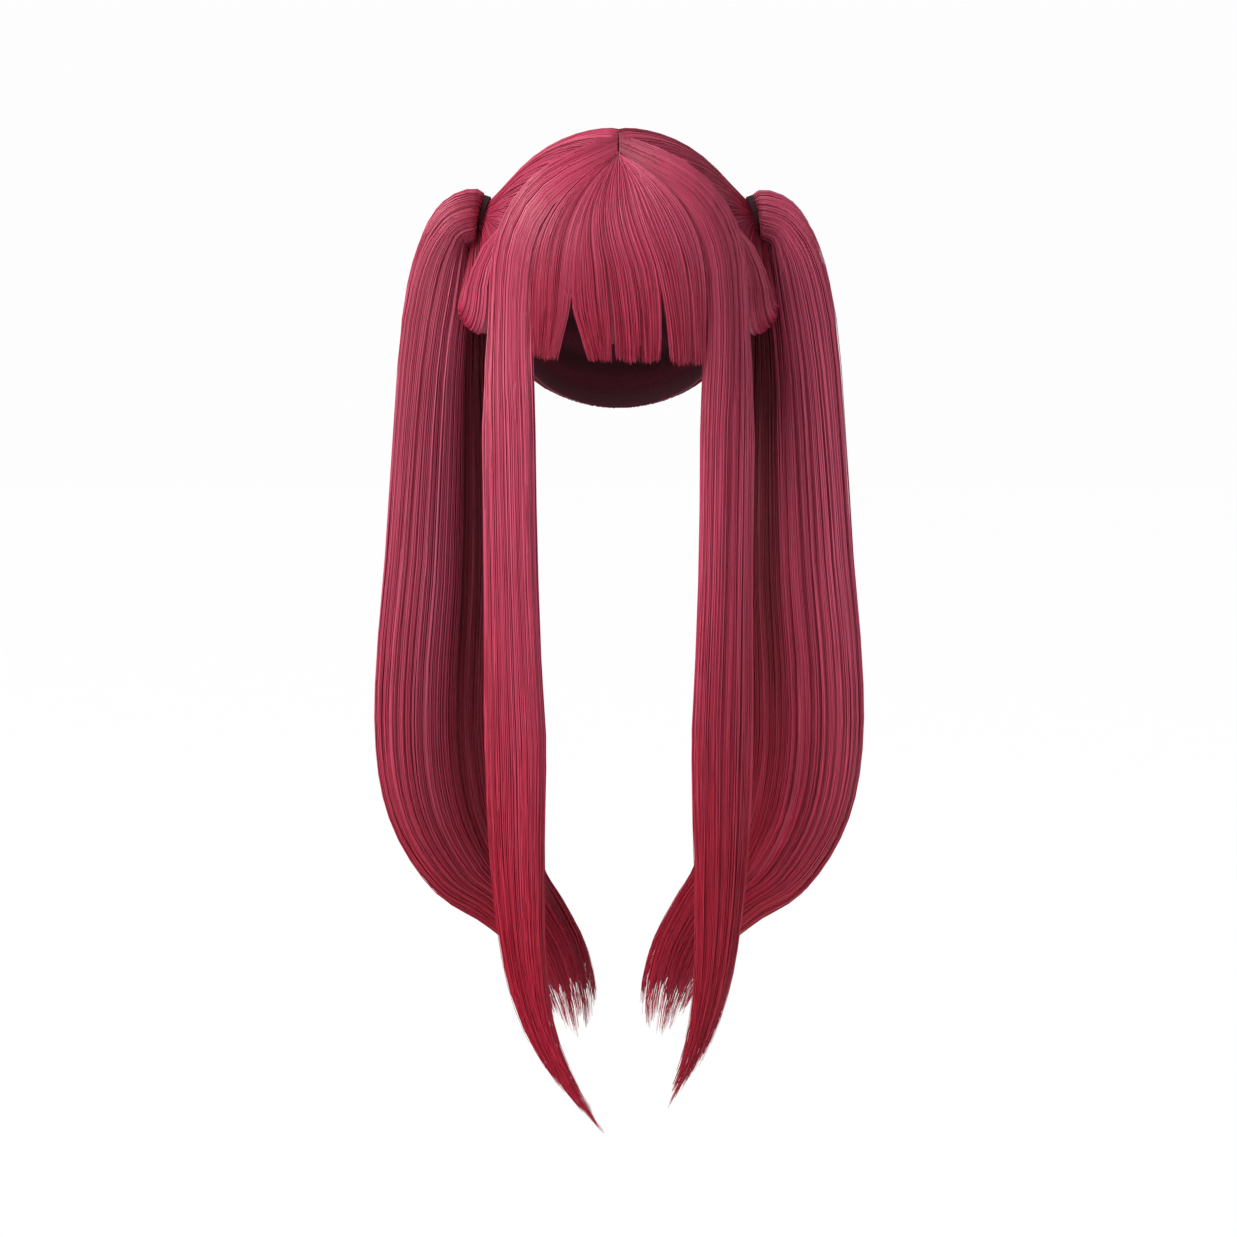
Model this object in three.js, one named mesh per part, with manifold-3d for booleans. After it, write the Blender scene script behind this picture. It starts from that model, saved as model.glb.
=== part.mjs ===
// A long straight wig with a blunt fringe and two high side tails, in the form that it has when it is worn.
// Millimetres, +Z up. The face looks towards -Y, and the wearer's left is +X.
// The origin is the crown point, where the top of the head meets the inside of the cap.
import * as THREE from "three";
import { mergeVertices } from "three/addons/utils/BufferGeometryUtils.js";
import Module from "manifold-3d";

// Head that the cap fits. Depth is measured straight down from the crown point.
const HEAD_HALF_WIDTH = 76;
const HEAD_HALF_LENGTH = 96;
const DOME_DEPTH = 80; // crown point to the widest level of the head
const NAPE_SPAN = 80; // length below that level over which the head narrows to the nape
const NAPE_NARROWING = 0.14; // share of the half widths lost over that span
const NAPE_FORWARD = 14; // forward shift of the head's section over that span
const PLUMB_STEP = 180; // length of plumb hair that counts as much as a radian of the dome

// Layers, as heights above the head
const GAP = 0.3; // between a piece and what it is sewn to
const CAP_WALL = 2;
const CROWN_HAIR = 9;
const CROWN_BASE = CAP_WALL + 1.5 * GAP;
const CROWN_TOP = CROWN_BASE + CROWN_HAIR;
const OVER_CROWN = CROWN_TOP + 3 * GAP;

// Edge of the cap: forehead, temple, in front of the ear, over the ear, behind it, and nape
// (its first and last rows are past the middle, so that the edge is smooth there)
const CAP_EDGE = [
  { around_deg: -36, depth: 70 },
  { around_deg: 0, depth: 62 },
  { around_deg: 36, depth: 70 },
  { around_deg: 60, depth: 98 },
  { around_deg: 74, depth: 118 },
  { around_deg: 92, depth: 112 },
  { around_deg: 110, depth: 126 },
  { around_deg: 140, depth: 154 },
  { around_deg: 180, depth: 166 },
  { around_deg: 220, depth: 154 },
];
const CAP_GRID = { columns: 30, rows: 12 };
const CROWN_GRID = { columns: 60, rows: 12 };

// Ties: where the hair is gathered on each side of the head
const TIE_AROUND_DEG = 90;
const TIE_DEPTH = 50;
const TIE_TILT_DEG = 20; // of its axis, up from straight out to the side
const MOUND_HEIGHT = 3; // of the combed hair that rises into the tie
const MOUND_RADIUS = 19;
const ROOT_RADIUS = 10.5; // of the tail inside its tie
const TIE_TURNS = 3;
const TIE_TURN_WIDTH = 2.2;
const TIE_THICKNESS = 2.4;
const TIE_SEGMENTS = 18;
const TIE_PLACES = [0.2, 0.5, 0.8]; // points of the outline across each turn
const TIE_GROOVE = 0.72; // thickness left at the grooves between turns, as a share
const TIE_OUT = 1.2; // from the mound to the ring

// Combed relief of the crown
const PART_DEPTH = 1.6;
const PART_HALF_WIDTH = 4;
const COMB_RIBS = 10; // round each tie
const COMB_DEPTH = 2.6;
const COMB_REACH = { from: 16, to: 110 }; // distance from the tie

// Front hair: it leaves the parting and spreads round the head as it comes down.
// Sector 0 to 1 is half of the fringe, and 1 to 2 is a side lock.
const FAN = [
  { sector: 0, around_deg: 0, start_depth: 24 },
  { sector: 1, around_deg: 35.5, start_depth: 23 },
  { sector: 1.5, around_deg: 48, start_depth: 13 },
  { sector: 2, around_deg: 60, start_depth: 4 },
];
const FAN_FALL = 21; // depth over which it spreads
const FAN_START = 1.6; // spread already reached where it leaves the parting, as a depth
const ROOT_THICKNESS = 0.3; // share of its thickness that the hair has where it leaves the parting
const ROOT_SHARE = 0.14; // share of its length over which it thickens
const FRONT_SPLIT = 0.02; // sector left free between the fringe and each side lock

// Fringe
const FRINGE_BOTTOM = 141;
const FRINGE_THICKNESS = 5;
const FRINGE_CURL = 3; // how far its lower edge turns in towards the brow
const FRINGE_LOCKS = 8;
const FRINGE_ROWS = 9;
const FRINGE_GAPS = [
  { x: -28, top_depth: 106, half_width: 11 },
  { x: 29, top_depth: 92, half_width: 2.6 },
];

// Side locks, as a ribbon below the temple. Turn is from facing the front to facing the side.
const SIDE_LOCK = [
  { depth: 110, x: 65, y: -74, half_width: 21, turn_deg: 48, thickness: 7 },
  { depth: 165, x: 66, y: -76, half_width: 18.5, turn_deg: 32, thickness: 10 },
  { depth: 290, x: 65, y: -78, half_width: 18, turn_deg: 25, thickness: 10 },
  { depth: 370, x: 63.5, y: -78, half_width: 20, turn_deg: 22, thickness: 10 },
  { depth: 450, x: 62.5, y: -77, half_width: 17.5, turn_deg: 22, thickness: 9 },
  { depth: 510, x: 59, y: -74, half_width: 14, turn_deg: 22, thickness: 8 },
  { depth: 550, x: 52, y: -71, half_width: 10.5, turn_deg: 22, thickness: 6 },
  { depth: 585, x: 39, y: -68, half_width: 7, turn_deg: 22, thickness: 4 },
  { depth: 615, x: 22, y: -65, half_width: 3.5, turn_deg: 22, thickness: 2 },
];
const SIDE_LOCK_LEAVES_HEAD = { from: 90, to: 150 };
const SIDE_LOCK_LOCKS = 4;
const SIDE_LOCK_ROWS = 17;
const SIDE_LOCK_EDGE = 0.35; // share of the thickness left at its edges
const SIDE_LOCK_NOTCH = 0.045; // length lost between its pointed ends, as a share of the lock
const SIDES = [
  { name: "left", side: 1, lock_length: 0.985, lock_sweep: 0.8 },
  { name: "right", side: -1, lock_length: 1.01, lock_sweep: 1.3 },
];

// Loops in front of the ties: the hair droops from the temple and turns back up into the tie.
const LOOP_CENTRE = { y: -22, depth: 97 };
const LOOP_RADIUS = { inner: 3, outer: 22 };
const LOOP_FRONT = { y: -30, depth: 60, spread: 10 };
const LOOP_BACK = { y: -14, depth: 71, spread: 6 };
const LOOP_ARM = 0.32; // share of the way taken by each arm
const LOOP_STAGGER = 4; // how much higher the outermost hair of an arm starts
const LOOP_THICKNESS = { edge: 1.5, middle: 15 };
const LOOP_SWELL = { from: 0.06, to: 0.9 }; // part of a half wave that its thickness follows along the way
const LOOP_COLUMNS = 6;
const LOOP_ROWS = 14;

// Tails: each row is a section from the tie to the tips, placed from where the tie sits. Lean is of the
// section's outer side, up from level. Turn is of its width, from lengthwise (along Y) towards the middle of
// the back, and bow is how far its middle stands out past its edges (below zero, in towards the front).
const TAIL = [
  { out: 0, y: 0, z: 0, lean_deg: 110, turn_deg: 0, half_width: 10.5, half_thick: 10.5, bow: 0 },
  { out: 3.9, y: 0, z: 1.4, lean_deg: 110, turn_deg: 0, half_width: 10.5, half_thick: 10.5, bow: 0 },
  { out: 7.7, y: 0, z: 2.8, lean_deg: 108, turn_deg: 0, half_width: 10.5, half_thick: 10.4, bow: 0 },
  { out: 15.5, y: 0, z: 2.4, lean_deg: 84, turn_deg: 0, half_width: 17, half_thick: 14, bow: 0 },
  { out: 22, y: 1, z: -5.5, lean_deg: 58, turn_deg: 6, half_width: 23, half_thick: 16.5, bow: 0 },
  { out: 25, y: 5, z: -19, lean_deg: 30, turn_deg: 22, half_width: 28, half_thick: 17.5, bow: 0 },
  { out: 25.5, y: 12, z: -48, lean_deg: 8, turn_deg: 40, half_width: 35, half_thick: 14, bow: 0 },
  { out: 22.5, y: 10, z: -104, lean_deg: 2, turn_deg: 43, half_width: 44, half_thick: 14.5, bow: -3 },
  { out: 19.5, y: 8, z: -170, lean_deg: 2, turn_deg: 43, half_width: 52, half_thick: 15, bow: -5 },
  { out: 25, y: 10, z: -256, lean_deg: 2, turn_deg: 44, half_width: 58, half_thick: 15, bow: -6 },
  { out: 27, y: 12, z: -332, lean_deg: -2, turn_deg: 44, half_width: 60, half_thick: 15, bow: -6 },
  { out: 19.5, y: 19, z: -387, lean_deg: -14, turn_deg: 46, half_width: 56, half_thick: 14, bow: -6 },
  { out: 1, y: 30, z: -430, lean_deg: -34, turn_deg: 49, half_width: 46, half_thick: 12, bow: -5 },
  { out: -20, y: 42, z: -453, lean_deg: -42, turn_deg: 52, half_width: 34, half_thick: 10, bow: -3 },
  { out: -40, y: 50, z: -480, lean_deg: -30, turn_deg: 58, half_width: 25, half_thick: 7.5, bow: -2 },
  { out: -52, y: 54, z: -511, lean_deg: -14, turn_deg: 64, half_width: 19, half_thick: 5, bow: -1 },
  { out: -58, y: 56, z: -543, lean_deg: -6, turn_deg: 68, half_width: 12, half_thick: 2.2, bow: 0 },
];
const TAIL_LOCKS = 6;
const TAIL_ROLL = { from: 0.3, to: 0.45 }; // share of its length over which its front edge becomes a roll
const TAIL_ROLL_FULLER = 0.3; // share of the thickness that the roll adds
const TAIL_SECTIONS = 26;
const TAIL_RIDGE = 0.16; // height of the locks, as a share of the half thickness
const TAIL_PARTS = { from: 0.14, to: 0.26 }; // share of its length over which it parts into locks
const TAIL_NOTCH_FROM = 0.6; // share of its length past which its locks end
const TAIL_NOTCH = 0.05; // length lost between its pointed ends, as a share of the tail

// Locks that a sheet of hair is combed into
const LOCK_COLUMNS = 3; // grid columns over a lock
const LOCK_RELIEF = 0.28; // share of the thickness lost between locks

// Colours from the photo
const RASPBERRY_HAIR = new THREE.MeshStandardMaterial({ color: 0x9a3a50, roughness: 0.45, metalness: 0 });
const CAP_NET = new THREE.MeshStandardMaterial({ color: 0x4a1c26, roughness: 0.9, metalness: 0 });
const DARK_ELASTIC = new THREE.MeshStandardMaterial({ color: 0x2a1a1d, roughness: 0.85, metalness: 0 });

const radians = THREE.MathUtils.degToRad;
const lerp = THREE.MathUtils.lerp;
const smoothstep = THREE.MathUtils.smoothstep;

// Value of a table's column between its rows, on a smooth curve through them.
function between(table, key, at, column) {
  const last = table.length - 1;
  const found = table.findIndex((row) => row[key] >= at);
  const high = Math.max(1, found < 0 ? last : found);
  const low = high - 1;
  const step = table[high][key] - table[low][key];
  const slope = (a, b) => (table[b][column] - table[a][column]) / (table[b][key] - table[a][key]);
  const leaving = slope(Math.max(0, low - 1), high) * step;
  const arriving = slope(low, Math.min(last, high + 1)) * step;
  const s = THREE.MathUtils.clamp((at - table[low][key]) / step, 0, 1);
  return (
    table[low][column] * (2 * s ** 3 - 3 * s ** 2 + 1) +
    leaving * (s ** 3 - 2 * s ** 2 + s) +
    table[high][column] * (3 * s ** 2 - 2 * s ** 3) +
    arriving * (s ** 3 - s ** 2)
  );
}

// Half widths of the head at a depth, as a share of the widest, with its forward shift and upward slope.
function headSection(depth) {
  const below = Math.max(0, (depth - DOME_DEPTH) / NAPE_SPAN) ** 2;
  const rise = Math.max(0, 1 - depth / DOME_DEPTH);
  return {
    share: Math.sqrt(1 - rise ** 2) - NAPE_NARROWING * below,
    forward: NAPE_FORWARD * below,
    rise,
  };
}

// Point at a height above the head. Straight hair falls plumb from the head's widest level.
function headPoint(around, depth, height, straight = false) {
  const { share, forward, rise } = headSection(straight ? Math.min(depth, DOME_DEPTH) : depth);
  const x = HEAD_HALF_WIDTH * share * Math.sin(around);
  const y = -HEAD_HALF_LENGTH * share * Math.cos(around);
  const outward = new THREE.Vector3(x / HEAD_HALF_WIDTH ** 2, y / HEAD_HALF_LENGTH ** 2, rise / DOME_DEPTH);
  return new THREE.Vector3(x, y - forward, -depth).addScaledVector(outward.normalize(), height);
}

// Depth counted along the head's curve, so that even steps of it are even steps over the dome.
function arcOf(depth) {
  if (depth <= DOME_DEPTH) return Math.acos(1 - depth / DOME_DEPTH);
  return Math.PI / 2 + (depth - DOME_DEPTH) / PLUMB_STEP;
}

function depthOf(arc) {
  if (arc <= Math.PI / 2) return DOME_DEPTH * (1 - Math.cos(arc));
  return DOME_DEPTH + PLUMB_STEP * (arc - Math.PI / 2);
}

// Closed solid between an outer and an inner grid of points, with walls along their edges.
// A grid that goes right round wraps its last column onto its first.
function gridSolid(outer, inner, wraps = false) {
  const triangles = [];
  const quad = (a, b, c, d) => triangles.push(a, b, c, a, c, d);
  const rows = outer.length - 1;
  const columns = outer[0].length;
  const across = wraps ? columns : columns - 1;
  const next = (j) => (j + 1) % columns;
  for (let j = 0; j < across; j++) {
    for (let i = 0; i < rows; i++) {
      quad(outer[i][j], outer[i][next(j)], outer[i + 1][next(j)], outer[i + 1][j]);
      quad(inner[i][j], inner[i + 1][j], inner[i + 1][next(j)], inner[i][next(j)]);
    }
    quad(outer[0][next(j)], outer[0][j], inner[0][j], inner[0][next(j)]);
    quad(outer[rows][j], outer[rows][next(j)], inner[rows][next(j)], inner[rows][j]);
  }
  for (let i = 0; i < rows && !wraps; i++) {
    const end = columns - 1;
    quad(outer[i][0], outer[i + 1][0], inner[i + 1][0], inner[i][0]);
    quad(outer[i + 1][end], outer[i][end], inner[i][end], inner[i + 1][end]);
  }
  return facingOut(triangles);
}

// Geometry of corner points three by three, with shared corners merged, no flat triangles and faces out.
function facingOut(corners) {
  const soup = new THREE.BufferGeometry().setFromPoints(corners);
  const merged = mergeVertices(soup, 1e-3);
  const index = merged.index.array;
  const points = merged.getAttribute("position");
  const corner = (i) => new THREE.Vector3().fromBufferAttribute(points, index[i]);
  const kept = [];
  let volume = 0;
  for (let i = 0; i < index.length; i += 3) {
    const [a, b, c] = index.slice(i, i + 3);
    if (a === b || b === c || c === a) continue;
    kept.push([a, b, c]);
    volume += corner(i).dot(corner(i + 1).cross(corner(i + 2)));
  }
  merged.setIndex(kept.flatMap(([a, b, c]) => (volume < 0 ? [a, c, b] : [a, b, c])));
  return merged;
}

// Rows of points over a grid: along runs 0 to 1 from root to tip, and across -1 to 1.
function gridOf(rows, columns, point) {
  const steps = (count) => Array.from({ length: count + 1 }, (_, i) => i / count);
  return steps(rows).map((along) => steps(columns).map((across) => point(2 * across - 1, along)));
}

// How full a combed sheet is at a place across it: 1 on a lock's ridge, less between two locks.
function lockFullness(across, locks) {
  const place = (((across + 1) / 2) * locks) % 1;
  return 1 - LOCK_RELIEF * (2 * place - 1) ** 2;
}

// How far a lock's pointed end falls short of the sheet's own end.
function tipShare(across, locks, notch) {
  const place = (((across + 1) / 2) * locks) % 1;
  return 1 - notch * Math.abs(2 * place - 1);
}

// Cap and crown

const TIE_AROUND = radians(TIE_AROUND_DEG);
const TIE_SEAT = headPoint(TIE_AROUND, TIE_DEPTH, CROWN_TOP + MOUND_HEIGHT + GAP);

// Height of the crown hair above the head: combed ribs and a mound at each tie, and a groove at the parting.
function crownHeight(around, depth) {
  const place = headPoint(around, depth, 0);
  const tie = headPoint(TIE_AROUND, TIE_DEPTH, 0);
  const reach = new THREE.Vector3(Math.abs(place.x) - tie.x, place.y - tie.y, place.z - tie.z);
  const mound = MOUND_HEIGHT * Math.exp(-((reach.length() / MOUND_RADIUS) ** 2));
  const turn = Math.atan2(reach.z, reach.y);
  const { from, to } = COMB_REACH;
  const combed = smoothstep(reach.length(), from, from * 2) * (1 - smoothstep(reach.length(), to * 0.7, to));
  const ribs = COMB_DEPTH * combed * (0.5 - 0.5 * Math.cos(COMB_RIBS * turn));
  const parting = PART_DEPTH * Math.exp(-((place.x / PART_HALF_WIDTH) ** 2));
  return CROWN_TOP + mound - ribs - parting;
}

function capGrid({ columns, rows }, height) {
  const grid = [];
  for (let i = 0; i <= rows; i++) {
    const row = [];
    for (let j = 0; j < columns; j++) {
      const around = (2 * Math.PI * j) / columns;
      const fromFront = 180 - Math.abs(180 - THREE.MathUtils.radToDeg(around));
      const edge = between(CAP_EDGE, "around_deg", fromFront, "depth");
      const depth = depthOf((arcOf(edge) * i) / rows);
      row.push(headPoint(around, depth, height(around, depth)));
    }
    grid.push(row);
  }
  return grid;
}

function cap() {
  const layer = (height) => capGrid(CAP_GRID, () => height);
  return gridSolid(layer(CAP_WALL), layer(0), true);
}

function crownHair() {
  const base = capGrid(CROWN_GRID, () => CROWN_BASE);
  return gridSolid(capGrid(CROWN_GRID, crownHeight), base, true);
}

// Fringe and side locks

function fanAround(sector, depth) {
  const start = between(FAN, "sector", Math.abs(sector), "start_depth");
  const full = between(FAN, "sector", Math.abs(sector), "around_deg");
  const spread = 1 - Math.exp(-(Math.max(0, depth - start) + FAN_START) / FAN_FALL);
  return Math.sign(sector) * radians(full) * spread;
}

// Depth at a share of the way from the parting to an end, in even steps over the head.
function depthFromPart(sector, along, end) {
  const start = between(FAN, "sector", Math.abs(sector), "start_depth");
  return depthOf(lerp(arcOf(start), arcOf(end), along));
}

// The hair comes up thin out of the parting.
const outOfPart = (along) => lerp(ROOT_THICKNESS, 1, smoothstep(along, 0, ROOT_SHARE));

function fringePoint(across, along, fullness) {
  const sector = across * (1 - FRONT_SPLIT);
  const depth = depthFromPart(sector, along, FRINGE_BOTTOM);
  const thickness = FRINGE_THICKNESS * fullness * lockFullness(across, FRINGE_LOCKS) * outOfPart(along);
  const curl = FRINGE_CURL * smoothstep(depth, DOME_DEPTH, FRINGE_BOTTOM);
  return headPoint(fanAround(sector, depth), depth, OVER_CROWN + thickness - curl, true);
}

// Wedge between two parted locks, cut right through the fringe.
function fringeGap({ x, top_depth, half_width }) {
  const wedge = new THREE.Shape([
    new THREE.Vector2(x, -top_depth),
    new THREE.Vector2(x - half_width, -FRINGE_BOTTOM - 1),
    new THREE.Vector2(x + half_width, -FRINGE_BOTTOM - 1),
  ]);
  const reach = 2 * HEAD_HALF_LENGTH;
  const prism = new THREE.ExtrudeGeometry(wedge, { depth: reach, bevelEnabled: false });
  return prism.rotateX(Math.PI / 2);
}

function fringe(solids) {
  const columns = FRINGE_LOCKS * LOCK_COLUMNS;
  const layer = (fullness) => gridOf(FRINGE_ROWS, columns, (u, t) => fringePoint(u, t, fullness));
  const sheet = gridSolid(layer(1), layer(0));
  return FRINGE_GAPS.reduce((left, gap) => solids.cut(left, fringeGap(gap)), sheet);
}

function sideLockPoint(across, along, fullness, { side, lock_length, lock_sweep }) {
  const end = SIDE_LOCK.at(-1).depth * tipShare(across, SIDE_LOCK_LOCKS, SIDE_LOCK_NOTCH);
  const sector = lerp(1 + FRONT_SPLIT, 2, (across + 1) / 2);
  const depth = depthFromPart(sector, along, end);
  const ribbon = (column) => between(SIDE_LOCK, "depth", depth, column);
  const round = lerp(SIDE_LOCK_EDGE, 1, Math.sqrt(1 - across ** 2));
  const full = fullness * lockFullness(across, SIDE_LOCK_LOCKS) * outOfPart(along) * round;
  const thickness = ribbon("thickness") * full;
  const onHead = headPoint(fanAround(sector, depth), depth, OVER_CROWN + thickness, true);
  const turn = radians(ribbon("turn_deg"));
  const swept = SIDE_LOCK[0].x - (SIDE_LOCK[0].x - ribbon("x")) * lock_sweep;
  const hanging = new THREE.Vector3(
    swept + ribbon("half_width") * across * Math.cos(turn) + thickness * Math.sin(turn),
    ribbon("y") + ribbon("half_width") * across * Math.sin(turn) - thickness * Math.cos(turn),
    -lerp(depth, depth * lock_length, smoothstep(depth, SIDE_LOCK_LEAVES_HEAD.to, end)),
  );
  const free = smoothstep(depth, SIDE_LOCK_LEAVES_HEAD.from, SIDE_LOCK_LEAVES_HEAD.to);
  const point = onHead.lerp(hanging, free);
  return point.setX(point.x * side);
}

function sideLock(which) {
  const columns = SIDE_LOCK_LOCKS * LOCK_COLUMNS;
  const layer = (fullness) => gridOf(SIDE_LOCK_ROWS, columns, (u, t) => sideLockPoint(u, t, fullness, which));
  return gridSolid(layer(1), layer(0));
}

// Loops

// A loop's hair runs down its front arm, round the bottom and up its back arm, in nested turns.
function loopPlace(outwards, along) {
  const radius = lerp(LOOP_RADIUS.inner, LOOP_RADIUS.outer, outwards);
  const turn = Math.PI * THREE.MathUtils.clamp((along - LOOP_ARM) / (1 - 2 * LOOP_ARM), 0, 1);
  const bend = {
    y: LOOP_CENTRE.y - radius * Math.cos(turn),
    depth: LOOP_CENTRE.depth + radius * Math.sin(turn),
  };
  const end = along < 0.5 ? LOOP_FRONT : LOOP_BACK;
  const away = along < 0.5 ? -1 : 1;
  const climbed = Math.max(0, (along < 0.5 ? LOOP_ARM - along : along - 1 + LOOP_ARM) / LOOP_ARM);
  return {
    y: lerp(bend.y, end.y + away * end.spread * outwards, smoothstep(climbed, 0, 1)),
    depth: lerp(bend.depth, end.depth - LOOP_STAGGER * outwards, climbed),
  };
}

function loopPoint(across, along, fullness, side) {
  const { y, depth } = loopPlace((across + 1) / 2, along);
  const around = Math.acos(-y / (HEAD_HALF_LENGTH * headSection(depth).share));
  const dome = Math.sqrt(1 - across ** 2) * Math.sin(Math.PI * lerp(LOOP_SWELL.from, LOOP_SWELL.to, along));
  const thickness = lerp(LOOP_THICKNESS.edge, LOOP_THICKNESS.middle, dome) * fullness;
  const floor = Math.max(CROWN_TOP, crownHeight(around, depth));
  const point = headPoint(around, depth, floor + 3 * GAP + thickness);
  return point.setX(point.x * side);
}

function hairLoop(side) {
  const layer = (fullness) => gridOf(LOOP_ROWS, LOOP_COLUMNS, (u, t) => loopPoint(u, t, fullness, side));
  return gridSolid(layer(1), layer(0));
}

// Ties and tails

// Elastic wound side by side round the root, as one ring of touching turns.
function hairTie(side) {
  const outline = [];
  const length = TIE_TURNS * TIE_TURN_WIDTH;
  const bore = ROOT_RADIUS + 2 * GAP;
  outline.push(new THREE.Vector2(bore, length));
  outline.push(new THREE.Vector2(bore, 0));
  for (let turn = 0; turn < TIE_TURNS; turn++) {
    for (const place of TIE_PLACES) {
      const bulge = TIE_THICKNESS * lerp(TIE_GROOVE, 1, Math.sin(Math.PI * place));
      outline.push(new THREE.Vector2(bore + bulge, (turn + place) * TIE_TURN_WIDTH));
    }
  }
  outline.push(outline[0].clone());
  const ring = new THREE.LatheGeometry(outline, TIE_SEGMENTS).toNonIndexed();
  const tilt = radians(TIE_TILT_DEG);
  ring.translate(0, TIE_OUT, 0).rotateX(Math.PI / 2).rotateY(side * (Math.PI / 2 - tilt));
  ring.translate(side * TIE_SEAT.x, TIE_SEAT.y, TIE_SEAT.z);
  const points = ring.getAttribute("position");
  return facingOut(Array.from({ length: points.count }, (_, i) => new THREE.Vector3().fromBufferAttribute(points, i)));
}

const TAIL_ROWS = TAIL.map((row, step) => ({ ...row, step }));
const tailColumn = (along, column) => between(TAIL_ROWS, "step", along * (TAIL.length - 1), column);

function tailCentre(along) {
  return new THREE.Vector3(
    TIE_SEAT.x + tailColumn(along, "out"),
    TIE_SEAT.y + tailColumn(along, "y"),
    TIE_SEAT.z + tailColumn(along, "z"),
  );
}

function tailPoint(across, along, face, side) {
  const place = along * tipShare(across, TAIL_LOCKS, TAIL_NOTCH * smoothstep(along, TAIL_NOTCH_FROM, 1));
  const turn = radians(tailColumn(place, "turn_deg"));
  const lean = radians(tailColumn(place, "lean_deg"));
  const width = new THREE.Vector3(-Math.sin(turn), Math.cos(turn), 0);
  const level = new THREE.Vector3(Math.cos(turn), Math.sin(turn), 0);
  const outward = level.multiplyScalar(Math.cos(lean)).setZ(Math.sin(lean));
  const roll = across < 0 ? smoothstep(place, TAIL_ROLL.from, TAIL_ROLL.to) : 0;
  const flat = Math.sqrt(1 - across ** 2);
  const full = Math.sqrt(1 - across ** 4) * (1 + TAIL_ROLL_FULLER * smoothstep(-across, 0, 0.6));
  const round = lerp(flat, full, roll);
  const locks = 1 + (TAIL_RIDGE * (lockFullness(across, TAIL_LOCKS) - 1)) / LOCK_RELIEF;
  const rise = tailColumn(place, "bow") * (1 - across ** 2);
  const parted = smoothstep(place, TAIL_PARTS.from, TAIL_PARTS.to);
  const thick = tailColumn(place, "half_thick") * round * lerp(1, locks, parted);
  const point = tailCentre(place)
    .addScaledVector(width, across * tailColumn(place, "half_width"))
    .addScaledVector(outward, rise + face * thick);
  return point.setX(point.x * side);
}

function pigtail(side) {
  const columns = 2 * TAIL_LOCKS;
  const layer = (face) =>
    gridOf(TAIL_SECTIONS, columns, (u, t) => tailPoint(Math.sin((u * Math.PI) / 2), t, face, side));
  return gridSolid(layer(1), layer(-1));
}

// Booleans on closed geometries

async function solidTools() {
  const wasm = await Module();
  wasm.setup();
  const solidOf = (geometry) => {
    const bare = new THREE.BufferGeometry();
    bare.setAttribute("position", geometry.getAttribute("position"));
    bare.setIndex(geometry.index);
    const merged = mergeVertices(bare, 1e-3);
    const vertProperties = new Float32Array(merged.getAttribute("position").array);
    const triVerts = new Uint32Array(merged.index.array);
    return new wasm.Manifold(new wasm.Mesh({ numProp: 3, vertProperties, triVerts }));
  };
  const geometryOf = (solid) => {
    const { vertProperties, triVerts } = solid.getMesh();
    const geometry = new THREE.BufferGeometry();
    geometry.setAttribute("position", new THREE.BufferAttribute(vertProperties, 3));
    return geometry.setIndex(new THREE.BufferAttribute(triVerts, 1));
  };
  return { cut: (whole, tool) => geometryOf(solidOf(whole).subtract(solidOf(tool))) };
}

const wig = new THREE.Group();

function add(name, geometry, material) {
  geometry.computeVertexNormals();
  const piece = new THREE.Mesh(geometry, material.clone());
  piece.name = name;
  wig.add(piece);
}

add("cap", cap(), CAP_NET);
add("crown_hair", crownHair(), RASPBERRY_HAIR);
add("fringe", fringe(await solidTools()), RASPBERRY_HAIR);
for (const which of SIDES) {
  add(`side_lock_${which.name}`, sideLock(which), RASPBERRY_HAIR);
  add(`hair_loop_${which.name}`, hairLoop(which.side), RASPBERRY_HAIR);
  add(`hair_tie_${which.name}`, hairTie(which.side), DARK_ELASTIC);
  add(`pigtail_${which.name}`, pigtail(which.side), RASPBERRY_HAIR);
}

export default wig;
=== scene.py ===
import bmesh
import bpy
import numpy as np
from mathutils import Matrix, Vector


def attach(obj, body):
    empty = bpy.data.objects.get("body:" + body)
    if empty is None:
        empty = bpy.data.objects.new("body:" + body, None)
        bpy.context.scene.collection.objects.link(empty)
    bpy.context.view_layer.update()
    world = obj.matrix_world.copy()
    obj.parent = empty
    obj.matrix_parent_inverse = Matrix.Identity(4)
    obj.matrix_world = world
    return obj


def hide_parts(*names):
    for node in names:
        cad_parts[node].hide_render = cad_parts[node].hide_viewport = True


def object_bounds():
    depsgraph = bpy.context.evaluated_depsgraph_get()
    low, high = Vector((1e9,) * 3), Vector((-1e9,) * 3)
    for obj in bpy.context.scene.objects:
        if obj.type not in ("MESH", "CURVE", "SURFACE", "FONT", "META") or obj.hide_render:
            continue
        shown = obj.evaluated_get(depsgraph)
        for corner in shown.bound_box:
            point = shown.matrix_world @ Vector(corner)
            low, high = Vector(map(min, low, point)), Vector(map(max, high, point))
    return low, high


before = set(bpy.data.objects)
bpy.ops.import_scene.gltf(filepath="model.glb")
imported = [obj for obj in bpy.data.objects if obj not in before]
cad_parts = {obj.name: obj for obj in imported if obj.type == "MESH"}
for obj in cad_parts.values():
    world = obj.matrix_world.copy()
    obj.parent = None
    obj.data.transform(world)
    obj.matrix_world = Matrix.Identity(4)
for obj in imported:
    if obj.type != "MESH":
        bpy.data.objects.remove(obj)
cad_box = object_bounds()


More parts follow.
